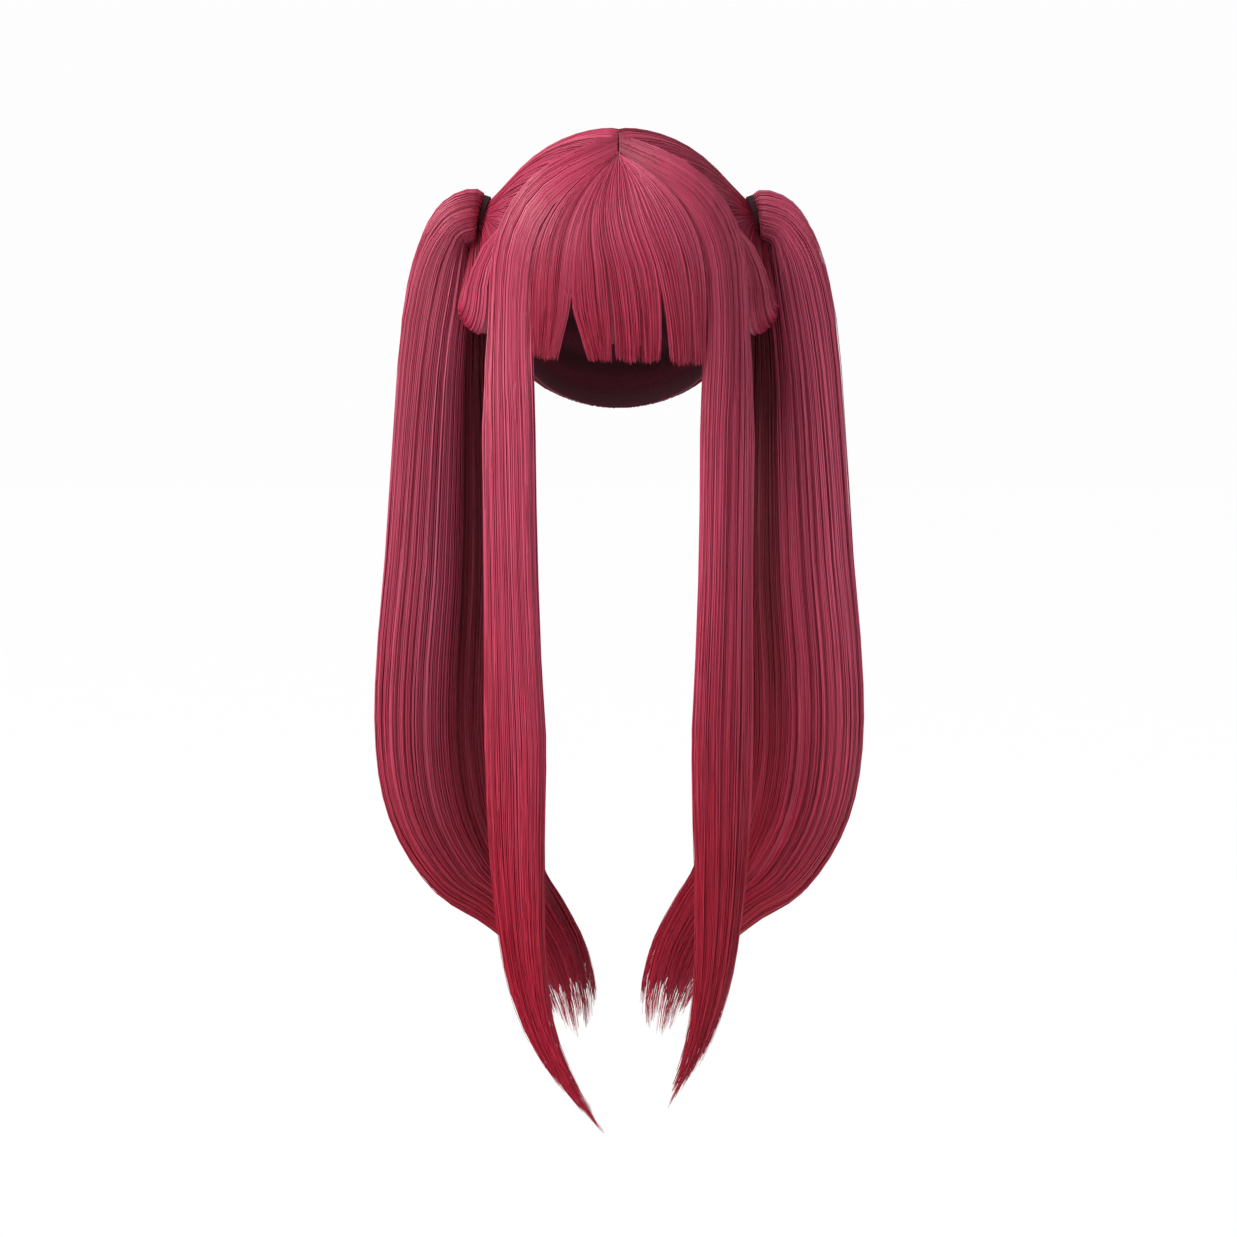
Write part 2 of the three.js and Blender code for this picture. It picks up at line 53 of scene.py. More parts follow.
# Cap
# The stretch cap that all the hair is sewn to: a dark net with rows of sewn wefts.
# It fits the head closely, and its edge runs from the forehead over the ears down to the nape.
HEAD_HALF_WIDTH = 0.076
HEAD_HALF_LENGTH = 0.096
DOME_DEPTH = 0.080  # crown point to the widest level of the head
NAPE_SPAN = 0.080  # length below that level over which the head narrows
NAPE_NARROWING = 0.14
NAPE_FORWARD = 0.014
PLUMB_STEP = 0.180  # length of plumb hair that counts as much as a radian of the dome
CAP_WALL = 0.002
CAP_COLUMNS = 96
CAP_ROWS = 30
WEFT_ROWS = 15
WAVE_BANDS = 3.14  # bands of a wave texture to each unit of its scale
NET_CELLS = 150  # round the cap, and a third as many down it
NET_DIP = 0.6  # of the holes in the net, against the height of the wefts
NET_COLOUR = (0.070, 0.013, 0.022, 1)
WEFT_COLOUR = (0.150, 0.018, 0.036, 1)


def profile(names, *rows):
    """Table of sections: each column under its name."""
    return dict(zip(names.split(), np.array(rows, float).T))


CAP_EDGE = profile(
    "around_deg depth",
    (-36, 0.070),
    (0, 0.062),
    (36, 0.070),
    (60, 0.098),
    (74, 0.118),
    (92, 0.112),
    (110, 0.126),
    (140, 0.154),
    (180, 0.166),
    (220, 0.154),
)


def between(table, at, column):
    """A table's column where its first column reaches a place, on a smooth curve through the rows."""
    places, values = next(iter(table.values())), table[column]
    rows = np.arange(len(places))
    before, after = np.maximum(rows - 1, 0), np.minimum(rows + 1, len(rows) - 1)
    slopes = (values[after] - values[before]) / (places[after] - places[before])
    low = np.clip(np.searchsorted(places, at) - 1, 0, len(rows) - 2)
    step = places[low + 1] - places[low]
    s = np.clip((at - places[low]) / step, 0, 1)
    return (
        values[low] * (2 * s**3 - 3 * s**2 + 1)
        + slopes[low] * step * (s**3 - 2 * s**2 + s)
        + values[low + 1] * (3 * s**2 - 2 * s**3)
        + slopes[low + 1] * step * (s**3 - s**2)
    )


def smoothstep(start, end, at):
    s = np.clip((at - start) / (end - start), 0, 1)
    return s * s * (3 - 2 * s)


def head_point(around, depth, height, straight=False):
    """Point at a height above the head. Straight hair falls plumb from the head's widest level."""
    around, depth, height = np.broadcast_arrays(around, depth, height)
    level = np.minimum(depth, DOME_DEPTH) if straight else depth
    below = np.maximum(0, (level - DOME_DEPTH) / NAPE_SPAN) ** 2
    rise = np.maximum(0, 1 - level / DOME_DEPTH)
    share = np.sqrt(1 - rise**2) - NAPE_NARROWING * below
    x = HEAD_HALF_WIDTH * share * np.sin(around)
    y = -HEAD_HALF_LENGTH * share * np.cos(around)
    outward = np.stack([x / HEAD_HALF_WIDTH**2, y / HEAD_HALF_LENGTH**2, rise / DOME_DEPTH], axis=-1)
    outward /= np.linalg.norm(outward, axis=-1, keepdims=True)
    return np.stack([x, y - NAPE_FORWARD * below, -depth], axis=-1) + outward * height[..., None]


def arc_of(depth):
    """Depth counted along the head's curve, so that even steps of it are even steps over the dome."""
    on_dome = np.arccos(np.clip(1 - depth / DOME_DEPTH, 0, 1))
    return np.where(depth <= DOME_DEPTH, on_dome, np.pi / 2 + (depth - DOME_DEPTH) / PLUMB_STEP)


def depth_of(arc):
    on_dome = DOME_DEPTH * (1 - np.cos(arc))
    return np.where(arc <= np.pi / 2, on_dome, DOME_DEPTH + PLUMB_STEP * (arc - np.pi / 2))


def cap_edge(around):
    from_front = 180 - np.abs(180 - np.degrees(around) % 360)
    return between(CAP_EDGE, from_front, "depth")


def new_piece(name, data):
    piece = bpy.data.objects.new(name, data)
    bpy.context.collection.objects.link(piece)
    return piece


def quads(grid):
    """Faces between the points of a grid, given by their numbers."""
    corners = [grid[:-1, :-1], grid[1:, :-1], grid[1:, 1:], grid[:-1, 1:]]
    return np.stack(corners, axis=-1).reshape(-1, 4).tolist()


def cap_shell(name, outer_height, inner_height):
    """Closed wall over the cap, between two heights above the head, with a UV map round and down it."""
    around = np.linspace(0, 2 * np.pi, CAP_COLUMNS, endpoint=False)[None, :]
    down = np.linspace(0, 1, CAP_ROWS + 1)[1:, None]
    depth = depth_of(arc_of(cap_edge(around)) * down)
    walls = []
    for height in (outer_height, inner_height):
        apex = head_point(np.zeros(1), np.zeros(1), height(np.zeros(1), np.zeros(1)))
        walls.append(np.concatenate([apex, head_point(around, depth, height(around, depth)).reshape(-1, 3)]))
    wall_size = len(walls[0])
    numbers = np.arange(2 * wall_size).reshape(2, wall_size)[:, 1:].reshape(2, CAP_ROWS, CAP_COLUMNS)
    outer, inner = np.concatenate([numbers, numbers[..., :1]], axis=-1)
    faces = quads(outer) + quads(inner.T) + quads(np.stack([outer[-1], inner[-1]]))
    for j in range(CAP_COLUMNS):
        faces.append((0, outer[0, j], outer[0, j + 1]))
        faces.append((wall_size, inner[0, j + 1], inner[0, j]))
    mesh = bpy.data.meshes.new(name)
    mesh.from_pydata(np.concatenate(walls).tolist(), [], faces)
    mesh.shade_smooth()
    round_and_down = mesh.uv_layers.new(name="round_and_down")
    for loop in mesh.loops:
        place = loop.vertex_index % wall_size - 1
        row = place // CAP_COLUMNS + 1
        round_and_down.uv[loop.index].vector = ((place % CAP_COLUMNS) / CAP_COLUMNS, row / CAP_ROWS)
    return new_piece(name, mesh)


def new_material(name):
    material = bpy.data.materials.new(name)
    material.use_nodes = True
    return material, material.node_tree, material.node_tree.nodes["Principled BSDF"]


def feed(tree, node, inputs):
    """Give each of a node's inputs a value, or a link from another node's output."""
    for name, value in inputs.items():
        if isinstance(value, bpy.types.NodeSocket):
            tree.links.new(value, node.inputs[name])
        else:
            node.inputs[name].default_value = value


def add(tree, kind, inputs=None, **settings):
    node = tree.nodes.new(kind)
    for name, value in settings.items():
        setattr(node, name, value)
    feed(tree, node, inputs or {})
    return node


def mixed(tree, factor, low, high):
    """Colour between two others."""
    return add(tree, "ShaderNodeMix", {"Factor": factor, 6: low, 7: high}, data_type="RGBA").outputs[2]


cap_net, tree, surface = new_material("cap_net")
uv = add(tree, "ShaderNodeUVMap", uv_map="round_and_down").outputs["UV"]
weft_waves = {"Vector": uv, "Scale": WEFT_ROWS / WAVE_BANDS, "Distortion": 0.4}
wefts = add(tree, "ShaderNodeTexWave", weft_waves, bands_direction="Y").outputs["Fac"]
cells = add(tree, "ShaderNodeMapping", {"Vector": uv, "Scale": (NET_CELLS, NET_CELLS / 3, 1)})
net_cells = {"Vector": cells.outputs["Vector"], "Scale": 1.0}
net = add(tree, "ShaderNodeTexVoronoi", net_cells, feature="DISTANCE_TO_EDGE").outputs["Distance"]
relief = add(tree, "ShaderNodeMath", {0: net, 1: -NET_DIP, 2: wefts}, operation="MULTIPLY_ADD")
bump = add(tree, "ShaderNodeBump", {"Height": relief.outputs["Value"], "Strength": 0.6, "Distance": 0.0008})
feed(tree, surface, {
    "Base Color": mixed(tree, wefts, NET_COLOUR, WEFT_COLOUR),
    "Roughness": 0.85,
    "Normal": bump.outputs["Normal"],
})

cap = cap_shell("wig_cap", lambda a, d: CAP_WALL + 0 * a, lambda a, d: 0 * a)
cap.data.materials.append(cap_net)
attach(cap, "root")
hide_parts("cap")


# Crown hair
# Fine synthetic hair sewn along a centre parting and the cap's edge, and combed back into the two ties.
# An under layer covers the cap, and combed strands lie over it and rise in a mound at each tie.
CROWN_BASE = CAP_WALL + 0.00045
CROWN_TOP = CROWN_BASE + 0.009
TIE_AROUND = np.radians(90)
TIE_DEPTH = 0.050
TIE_TILT = np.radians(20)
TIE_CLEARANCE = 0.0003  # above the mound
MOUND_HEIGHT = 0.003
MOUND_RADIUS = 0.019
ROOT_RADIUS = 0.0105
PART_DEPTH = 0.0009
PART_HALF_WIDTH = 0.003
UNDER_LAYER_INSET = 0.0016
UNDER_LAYER_LEAST = 0.0005  # thickness that is left at the cap's edge
UNDER_LAYER_STREAKS = 420.0
EDGE_ROLL = 0.008  # depth over which the hair rolls in under the cap's edge
FRONT_ROW = {"sector": 1.6, "depth": 0.008, "length": 0.085}  # sewn behind the front hair
PART_ROW = {"arc": -0.74, "length": 2.79, "aside": 0.003}  # sewn along the parting, over the crown point
EDGE_ROW = {"around_deg": 178, "length_deg": -127}  # sewn round the cap's edge
CROWN_LAYER = {"proud": 0.0002, "depth": 0.0010}
CROWN_MOUTH = {"rise_from": 0.72, "out": 0.002, "radius": 0.9 * ROOT_RADIUS}  # where strands go into a tie
CROWN_ROOM = {"ends": 0.0003, "middle": 0.0011}
CROWN_PACE = 1.35  # above 1, steps are closer at the roots
CROWN_GUIDES = 460  # to each side
CROWN_STEPS = 12
STRANDS = 3  # laid along each guide
STRAND_RADIUS = 0.00030
STRAY_POWER = 9.0  # the higher, the fewer strands stray far
SHORT_POWER = 2.0  # the higher, the fewer strands end early
TAPER_POWER = 9.0  # the higher, the nearer its end a strand thins
WAVER_SCALE = 14.0
WAVER_APART = 9.0  # how far apart strands read the noise that they waver by
HAIR_DEEP = (0.160, 0.006, 0.016, 1)
HAIR_MID = (0.465, 0.040, 0.097, 1)
HAIR_LIGHT = (0.625, 0.096, 0.182, 1)
# deep red painted as shade, at the strands' ends and on the under layer
HAIR_SHADED = (0.400, 0.005, 0.030, 1)
TINT_SHARE = 0.4  # of a strand's own tint in its colour, against its lock's shade
FAN = profile(
    "sector around_deg start_depth",
    (0, 0, 0.024),
    (1, 35.5, 0.023),
    (1.5, 48, 0.013),
    (2, 60, 0.004),
)
FAN_FALL = 0.021
FAN_START = 0.0004


def crown_height(around, depth):
    """Height of the crown hair: a mound at each tie and a groove at the parting."""
    place = head_point(around, depth, 0.0)
    tie = head_point(TIE_AROUND, TIE_DEPTH, 0.0)
    reach = np.stack([np.abs(place[..., 0]), place[..., 1], place[..., 2]], axis=-1) - tie
    distance = np.linalg.norm(reach, axis=-1)
    mound = MOUND_HEIGHT * np.exp(-((distance / MOUND_RADIUS) ** 2))
    parting = PART_DEPTH * np.exp(-((place[..., 0] / PART_HALF_WIDTH) ** 2))
    return CROWN_TOP + mound - parting


def edge_roll(around, depth):
    """How far the crown hair has rolled in towards the head near the cap's edge."""
    share = np.clip((depth - cap_edge(around)) / EDGE_ROLL + 1, 0, 1)
    return (CROWN_TOP - CROWN_BASE - UNDER_LAYER_INSET - UNDER_LAYER_LEAST) * (1 - np.sqrt(1 - share**2))


def fan_around(sector, depth):
    """Angle round the head of the front hair, which spreads from the parting as it comes down."""
    start = between(FAN, np.abs(sector), "start_depth")
    full = np.radians(between(FAN, np.abs(sector), "around_deg"))
    spread = 1 - np.exp(-(np.maximum(0, depth - start) + FAN_START) / FAN_FALL)
    return np.sign(sector) * full * spread


def new_group(name, kind, inputs, outputs):
    """A new node group with named sockets, and what comes in through them."""
    group = bpy.data.node_groups.new(name, kind)
    for way, sockets in (("INPUT", inputs), ("OUTPUT", outputs)):
        for socket, value in sockets.items():
            group.interface.new_socket(socket, in_out=way, socket_type="NodeSocket" + value)
    return group, group.nodes.new("NodeGroupInput").outputs


def ranged(tree, value, of, to=(0.0, 1.0)):
    """Value carried from one range into another."""
    ends = {"From Min": of[0], "From Max": of[1], "To Min": to[0], "To Max": to[1]}
    return add(tree, "ShaderNodeMapRange", {"Value": value, **ends}).outputs["Result"]


def strand_shades():
    """Shader group: colour and roughness along a strand, from its lock's shade and its own tint, with painted
    shade at its root and towards its end.
    """
    colours = {"Deep": "Color", "Mid": "Color", "Light": "Color", "Tip": "Color"}
    outputs = {"Colour": "Color", "Roughness": "Float"}
    group, hair = new_group("Strand shades", "ShaderNodeTree", colours, outputs)
    read = {}
    for name in ("shade", "tint", "along", "tip_shade"):
        read[name] = add(group, "ShaderNodeAttribute", attribute_name=name).outputs["Fac"]
    both = {"Factor": TINT_SHARE, "A": read["shade"], "B": read["tint"]}
    shade = add(group, "ShaderNodeMix", both).outputs["Result"]
    colour = mixed(group, ranged(group, shade, (0.1, 0.45)), hair["Deep"], hair["Mid"])
    colour = mixed(group, ranged(group, shade, (0.5, 1.0)), colour, hair["Light"])
    # painted shade: each strand is darker near its root, where it comes out of the parting or from under
    # other hair
    colour = mixed(group, ranged(group, read["along"], (0.0, 0.06), (0.45, 0.0)), colour, hair["Deep"])
    # painted shade: towards its end a strand goes over to a deeper, less sheeny red, for lower hair that
    # catches less light; its tip shade says how far
    painted_tip_shade = {0: ranged(group, read["along"], (0.45, 0.85)), 1: read["tip_shade"]}
    tip = add(group, "ShaderNodeMath", painted_tip_shade, operation="MULTIPLY").outputs["Value"]
    colour = mixed(group, tip, colour, hair["Tip"])
    gloss = ranged(group, shade, (0.0, 1.0), (0.52, 0.36))
    add(group, "NodeGroupOutput", {"Colour": colour, "Roughness": gloss})
    return group


raspberry_hair, tree, surface = new_material("raspberry_hair")
hair_colours = {"Deep": HAIR_DEEP, "Mid": HAIR_MID, "Light": HAIR_LIGHT, "Tip": HAIR_SHADED}
shades = add(tree, "ShaderNodeGroup", hair_colours, node_tree=strand_shades())
feed(tree, surface, {
    "Base Color": shades.outputs["Colour"],
    "Roughness": shades.outputs["Roughness"],
    "Specular IOR Level": 0.4,
})


def end_tree(tree, mesh, material):
    """The end of a geometry nodes tree: shaded smooth, realized and given its material."""
    smooth = add(tree, "GeometryNodeSetShadeSmooth", {0: mesh})
    real = add(tree, "GeometryNodeRealizeInstances", {0: smooth.outputs[0]})
    finish = add(tree, "GeometryNodeSetMaterial", {0: real.outputs[0], "Material": material})
    add(tree, "NodeGroupOutput", {0: finish.outputs[0]})


def combed_hair():
    """Geometry nodes: each guide line becomes a few strands with their own places, ends and tints."""
    tree, inside = new_group("Combed hair", "GeometryNodeTree", {
        "Guides": "Geometry", "Strands": "Int", "Strand radius": "Float", "Tip": "Float", "Wander": "Float",
        "Stray": "Float", "Uneven ends": "Float", "Seed": "Int", "Hair": "Material",
    }, {"Hair": "Geometry"})

    def maths(operation, a, b=0.0):
        return add(tree, "ShaderNodeMath", {0: a, 1: b}, operation=operation).outputs[0]

    def vectors(operation, a, b):
        return add(tree, "ShaderNodeVectorMath", {0: a, 1: b}, operation=operation).outputs[0]

    def scaled(vector, by):
        return add(tree, "ShaderNodeVectorMath", {0: vector, "Scale": by}, operation="SCALE").outputs[0]

    def by_strand(offset):
        """A random share from 0 to 1, the same all along a strand."""
        seed = maths("ADD", inside["Seed"], float(offset))
        value = add(tree, "FunctionNodeRandomValue", {"Seed": seed}, data_type="FLOAT").outputs[1]
        held = add(tree, "GeometryNodeFieldOnDomain", {0: value}, domain="CURVE", data_type="FLOAT")
        return held.outputs[0]

    def stored(geometry, name, value):
        inputs = {"Geometry": geometry, "Name": name, "Value": value}
        made = add(tree, "GeometryNodeStoreNamedAttribute", inputs, data_type="FLOAT", domain="POINT")
        return made.outputs["Geometry"]

    def along_strand():
        return add(tree, "GeometryNodeSplineParameter").outputs["Factor"]

    lines = add(tree, "GeometryNodeMeshToCurve", {0: inside["Guides"]}).outputs["Curve"]
    copied = {"Geometry": lines, "Amount": inside["Strands"]}
    strands = add(tree, "GeometryNodeDuplicateElements", copied, domain="SPLINE").outputs["Geometry"]
    along = along_strand()
    room = add(tree, "GeometryNodeInputNamedAttribute", {"Name": "room"}, data_type="FLOAT").outputs[0]
    normal = add(tree, "GeometryNodeInputNormal").outputs[0]
    tangent = add(tree, "GeometryNodeInputTangent").outputs[0]
    sideways = vectors("CROSS_PRODUCT", tangent, normal)
    angle = maths("MULTIPLY", by_strand(1), 2 * np.pi)
    reach = maths("MULTIPLY", maths("SQRT", by_strand(2)), room)
    straying = maths("MULTIPLY", maths("POWER", by_strand(3), STRAY_POWER), inside["Stray"])
    reach = maths("ADD", reach, maths("MULTIPLY", straying, maths("MULTIPLY", along, along)))
    outwards = scaled(normal, maths("MULTIPLY", maths("COSINE", angle), reach))
    crosswise = scaled(sideways, maths("MULTIPLY", maths("SINE", angle), reach))
    offset = vectors("ADD", outwards, crosswise)

    place = add(tree, "GeometryNodeInputPosition").outputs[0]
    apart = add(tree, "ShaderNodeCombineXYZ", {0: maths("MULTIPLY", by_strand(4), WAVER_APART)}).outputs[0]
    wavy = {"Vector": vectors("ADD", place, apart), "Scale": WAVER_SCALE, "Detail": 1.0}
    noise = add(tree, "ShaderNodeTexNoise", wavy).outputs["Color"]
    waver = vectors("SUBTRACT", noise, (0.5, 0.5, 0.5))
    waver = scaled(waver, maths("MULTIPLY", inside["Wander"], along))
    moved = {"Geometry": strands, "Offset": vectors("ADD", offset, waver)}
    strands = add(tree, "GeometryNodeSetPosition", moved).outputs["Geometry"]

    shorter = maths("MULTIPLY", maths("POWER", by_strand(5), SHORT_POWER), inside["Uneven ends"])
    cut = {"Curve": strands, "End": maths("SUBTRACT", 1.0, shorter)}
    strands = add(tree, "GeometryNodeTrimCurve", cut).outputs["Curve"]
    strands = stored(strands, "tint", by_strand(6))
    strands = stored(strands, "along", along_strand())

    slimming = maths("POWER", along_strand(), TAPER_POWER)
    lost = maths("MULTIPLY", slimming, maths("SUBTRACT", 1.0, inside["Tip"]))
    thickness = maths("MULTIPLY", inside["Strand radius"], maths("SUBTRACT", 1.0, lost))
    section = add(tree, "GeometryNodeCurvePrimitiveCircle", {"Resolution": 3, "Radius": 1.0}).outputs["Curve"]
    swept = {"Curve": strands, "Profile Curve": section, "Scale": thickness, "Fill Caps": True}
    end_tree(tree, add(tree, "GeometryNodeCurveToMesh", swept).outputs["Mesh"], inside["Hair"])
    return tree


COMBED_HAIR = combed_hair()


def grown(piece, tree, inputs):
    """Plain mesh that a geometry nodes tree makes of a piece."""
    modifier = piece.modifiers.new(tree.name, "NODES")
    modifier.node_group = tree
    sockets = {item.name: item.identifier for item in tree.interface.items_tree if item.in_out == "INPUT"}
    for name, value in inputs.items():
        modifier[sockets[name]] = value
    bpy.context.view_layer.update()
    mesh = bpy.data.meshes.new_from_object(piece.evaluated_get(bpy.context.evaluated_depsgraph_get()))
    piece.modifiers.clear()
    return mesh


def write_attribute(mesh, name, values):
    layer = mesh.attributes.new(name, "FLOAT", "POINT")
    layer.data.foreach_set("value", np.asarray(values, np.float32).ravel())


def dress(piece, node):
    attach(piece, "root")
    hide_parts(node)


def comb(name, node, guides, room, shade, tip_shade, **sizes):
    """Strands along guide lines (guides by steps by three), made into one plain mesh for a node."""
    count, steps = guides.shape[:2]
    points = np.arange(count * steps).reshape(count, steps)
    edges = np.stack([points[:, :-1].ravel(), points[:, 1:].ravel()], axis=1)
    mesh = bpy.data.meshes.new(name)
    mesh.from_pydata(guides.reshape(-1, 3).tolist(), edges.tolist(), [])
    for attribute, values in (("room", room), ("shade", shade), ("tip_shade", tip_shade)):
        write_attribute(mesh, attribute, np.broadcast_to(values, (count, steps)))
    piece = new_piece(name, mesh)
    inputs = {size.replace("_", " ").capitalize(): value for size, value in sizes.items()}
    inputs.update({"Strands": STRANDS, "Strand radius": STRAND_RADIUS, "Hair": raspberry_hair})
    piece.data = grown(piece, COMBED_HAIR, inputs)
    dress(piece, node)


def scattered(random, count):
    """Even but irregular places from 0 to 1, in random order."""
    return random.permutation((np.arange(count) + random.random(count)) / count)


def banded(random, places, bands, low=0.30, high=0.90):
    """Shade of each guide: neighbours have much the same shade, so that the hair falls into broad bands."""
    knots = low + (high - low) * random.random(bands + 1)
    return np.interp(places, np.linspace(0, 1, bands + 1), knots)[:, None]


def ball(around, arc):
    return np.stack([np.sin(arc) * np.sin(around), -np.sin(arc) * np.cos(around), np.cos(arc)], axis=-1)


def crown_starts(random, count):
    """Places where the crown's guides are sewn: behind the front hair, along the parting, and at the edge."""
    front = np.sort(scattered(random, count // 5))
    parting = np.sort(scattered(random, count * 2 // 5))
    edge = np.sort(scattered(random, count - len(front) - len(parting)))
    front_depth = FRONT_ROW["depth"] + FRONT_ROW["length"] * front
    over_crown = PART_ROW["arc"] + PART_ROW["length"] * parting
    edge_around = np.radians(EDGE_ROW["around_deg"] + EDGE_ROW["length_deg"] * edge)
    around = np.concatenate([
        fan_around(FRONT_ROW["sector"] + 0 * front, front_depth),
        np.where(over_crown < 0, PART_ROW["aside"], np.pi - PART_ROW["aside"]),
        edge_around,
    ])
    depth = np.concatenate([front_depth, depth_of(np.abs(over_crown)), cap_edge(edge_around)])
    return around, depth


TIE_SEAT = head_point(TIE_AROUND, TIE_DEPTH, CROWN_TOP + MOUND_HEIGHT + TIE_CLEARANCE)
TIE_AXIS = np.array([np.cos(TIE_TILT), 0, np.sin(TIE_TILT)])


def crown_guides(random, count, along):
    """Lines over the head from where the hair is sewn to the left tie."""
    around, depth = crown_starts(random, count)
    start, tie = ball(around, arc_of(depth)), ball(TIE_AROUND, arc_of(TIE_DEPTH))
    turn = np.arccos(np.clip(start @ tie, -1, 1))[:, None]
    path = np.sin((1 - along) * turn)[..., None] * start[:, None] + np.sin(along * turn)[..., None] * tie
    path /= np.linalg.norm(path, axis=-1, keepdims=True)
    path_around = np.arctan2(path[..., 0], -path[..., 1])
    path_depth = depth_of(np.arccos(np.clip(path[..., 2], -1, 1)))
    layer = CROWN_LAYER["proud"] - CROWN_LAYER["depth"] * random.random((count, 1))
    height = crown_height(path_around, path_depth) - edge_roll(path_around, path_depth) + layer
    surface = head_point(path_around, path_depth, height)
    inward = surface - TIE_SEAT
    inward -= (inward @ TIE_AXIS)[..., None] * TIE_AXIS
    middle = along.shape[1] // 2
    approach = inward[:, middle] / np.linalg.norm(inward[:, middle], axis=-1, keepdims=True)
    mouth = TIE_SEAT + CROWN_MOUTH["out"] * TIE_AXIS + CROWN_MOUTH["radius"] * approach
    risen = smoothstep(CROWN_MOUTH["rise_from"], 1, along)[..., None]
    return surface + risen * (mouth[:, None] - surface)


def hair_streaks():
    """Shader group: colour and height of packed hair, as streaks over a texture's coordinates."""
    inputs = {"Vector": "Vector", "Scale": "Float", "Dark": "Color", "Light": "Color"}
    outputs = {"Colour": "Color", "Height": "Float"}
    group, inside = new_group("Hair streaks", "ShaderNodeTree", inputs, outputs)
    noise = {"Vector": inside["Vector"], "Scale": inside["Scale"], "Detail": 3.0}
    height = ranged(group, add(group, "ShaderNodeTexNoise", noise).outputs["Fac"], (0.3, 0.7))
    colour = mixed(group, height, inside["Dark"], inside["Light"])
    add(group, "NodeGroupOutput", {"Colour": colour, "Height": height})
    return group


HAIR_STREAKS = hair_streaks()


def streak(tree, surface, vector, scale, light):
    """Give a material the streaks of packed hair that show between the strands over it."""
    inputs = {"Vector": vector, "Scale": scale, "Dark": HAIR_DEEP, "Light": light}
    streaks = add(tree, "ShaderNodeGroup", inputs, node_tree=HAIR_STREAKS).outputs
    bump = add(tree, "ShaderNodeBump", {"Height": streaks["Height"], "Distance": 0.0005}).outputs["Normal"]
    feed(tree, surface, {"Base Color": streaks["Colour"], "Roughness": 0.5, "Normal": bump})


# painted shade: the under layer is streaked in dark reds so that where it shows between the strands it reads
# as shade
crown_under_hair, tree, surface = new_material("crown_under_hair")
streak(tree, surface, add(tree, "ShaderNodeTexCoord").outputs["Object"], UNDER_LAYER_STREAKS, HAIR_SHADED)
under_hair = cap_shell(
    "crown_under_hair",
    lambda a, d: crown_height(a, d) - edge_roll(a, d) - UNDER_LAYER_INSET,
    lambda a, d: CROWN_BASE + 0 * a,
)
under_hair.data.materials.append(crown_under_hair)
dress(under_hair, "crown_hair")

random = np.random.default_rng(11)
crown_along = np.linspace(0, 1, CROWN_STEPS)[None, :] ** CROWN_PACE
left_crown = crown_guides(random, CROWN_GUIDES, crown_along)
right_crown = crown_guides(random, CROWN_GUIDES, crown_along) * (-1, 1, 1)
crown_room = CROWN_ROOM["ends"] + CROWN_ROOM["middle"] * np.sin(np.pi * crown_along)
crown_places = np.linspace(0, 1, CROWN_GUIDES)
crown_shade = [banded(random, crown_places, bands=60, low=0.25, high=0.9) for side in range(2)]
comb(
    "crown_strands", "crown_hair", np.concatenate([left_crown, right_crown]), crown_room,
    np.concatenate(crown_shade), tip_shade=0.35, tip=0.8, wander=0.0015, stray=0.001, uneven_ends=0.0, seed=1,
)


# Fringe
# A blunt fringe of fine hair that fans out from the parting and hangs straight down in front.
# It is cut straight, and it parts into locks with a wide gap and a narrow one.
LAYER_GAP = 0.0009  # between the crown hair and the hair that lies over it
OVER_CROWN = CROWN_TOP + LAYER_GAP
LEAVES_PART = {"thin": 0.3, "full_at": 0.14, "sunk": 0.001, "risen_at": 0.16}  # hair at the parting
FRINGE_BOTTOM = 0.141
FRINGE_THICKNESS = 0.005
FRINGE_CURL = 0.003
FRINGE_SPREAD = 0.98  # of the room between the side locks
FRINGE_LOCKS = np.array([-1, -0.86, -0.7, -0.5, -0.36, -0.2, -0.05, 0.11, 0.25, 0.37, 0.5, 0.66, 0.8, 1])
FRINGE_LEAN = np.array([0, 0.015, -0.01, 0, 0.005, -0.015, 0.01, -0.0075, 0.015, 0, 0.01, -0.015, 0])
FRINGE_LEAN_FROM = 0.5
FRINGE_SHORTER_MM = np.array([1.2, 0.3, 0.9, 0, 0.6, 0.18, 0.84, 0, 0.48, 0.96, 0, 0.72, 0.24])
FRINGE_SLANT = 0.0022  # how much shorter it is cut to one side
FRINGE_GATHER = {"share": 0.14, "from": 0.35}  # how far the hair draws together into locks at its ends
FRINGE_GAPS = (
    {"across": -0.5, "top_depth": 0.102, "half_width": 0.21},
    {"across": 0.5, "top_depth": 0.090, "half_width": 0.065},
)
GAP_REACH = 0.42
FRINGE_SWEEP = {"from": -0.5, "to": 1.0, "by": 0.28, "until": 0.3}  # lean to one side beside the wide gap
FRINGE_LAYER = {"inner": 0.68, "depth": 0.30}
FRINGE_RAGGED = 0.003
FRINGE_STARTS = {"first": -0.007, "spread": 0.010}
FRINGE_GUIDES = 400
FRINGE_STEPS = 15
FRINGE_CORE = {"from": 0.01, "to": 0.94, "rows": 24, "columns": 31, "faces": (0.72, 0.2)}
LOCK_MARGIN = 0.004
MERGED = 1e-6  # distance at which two points become one
STRAND_PITCH = 0.0005  # of the streaks that show between strands


def depth_from_part(sector, along, end, later=0.0):
    """Depth at a share of the way from the parting to an end. Some hair leaves the parting later."""
    start = between(FAN, np.abs(sector), "start_depth") + later
    return depth_of(arc_of(start) + (arc_of(end) - arc_of(start)) * along)


def out_of_part(along):
    """Share of its thickness that a sheet of hair has near the parting."""
    return LEAVES_PART["thin"] + (1 - LEAVES_PART["thin"]) * smoothstep(0, LEAVES_PART["full_at"], along)


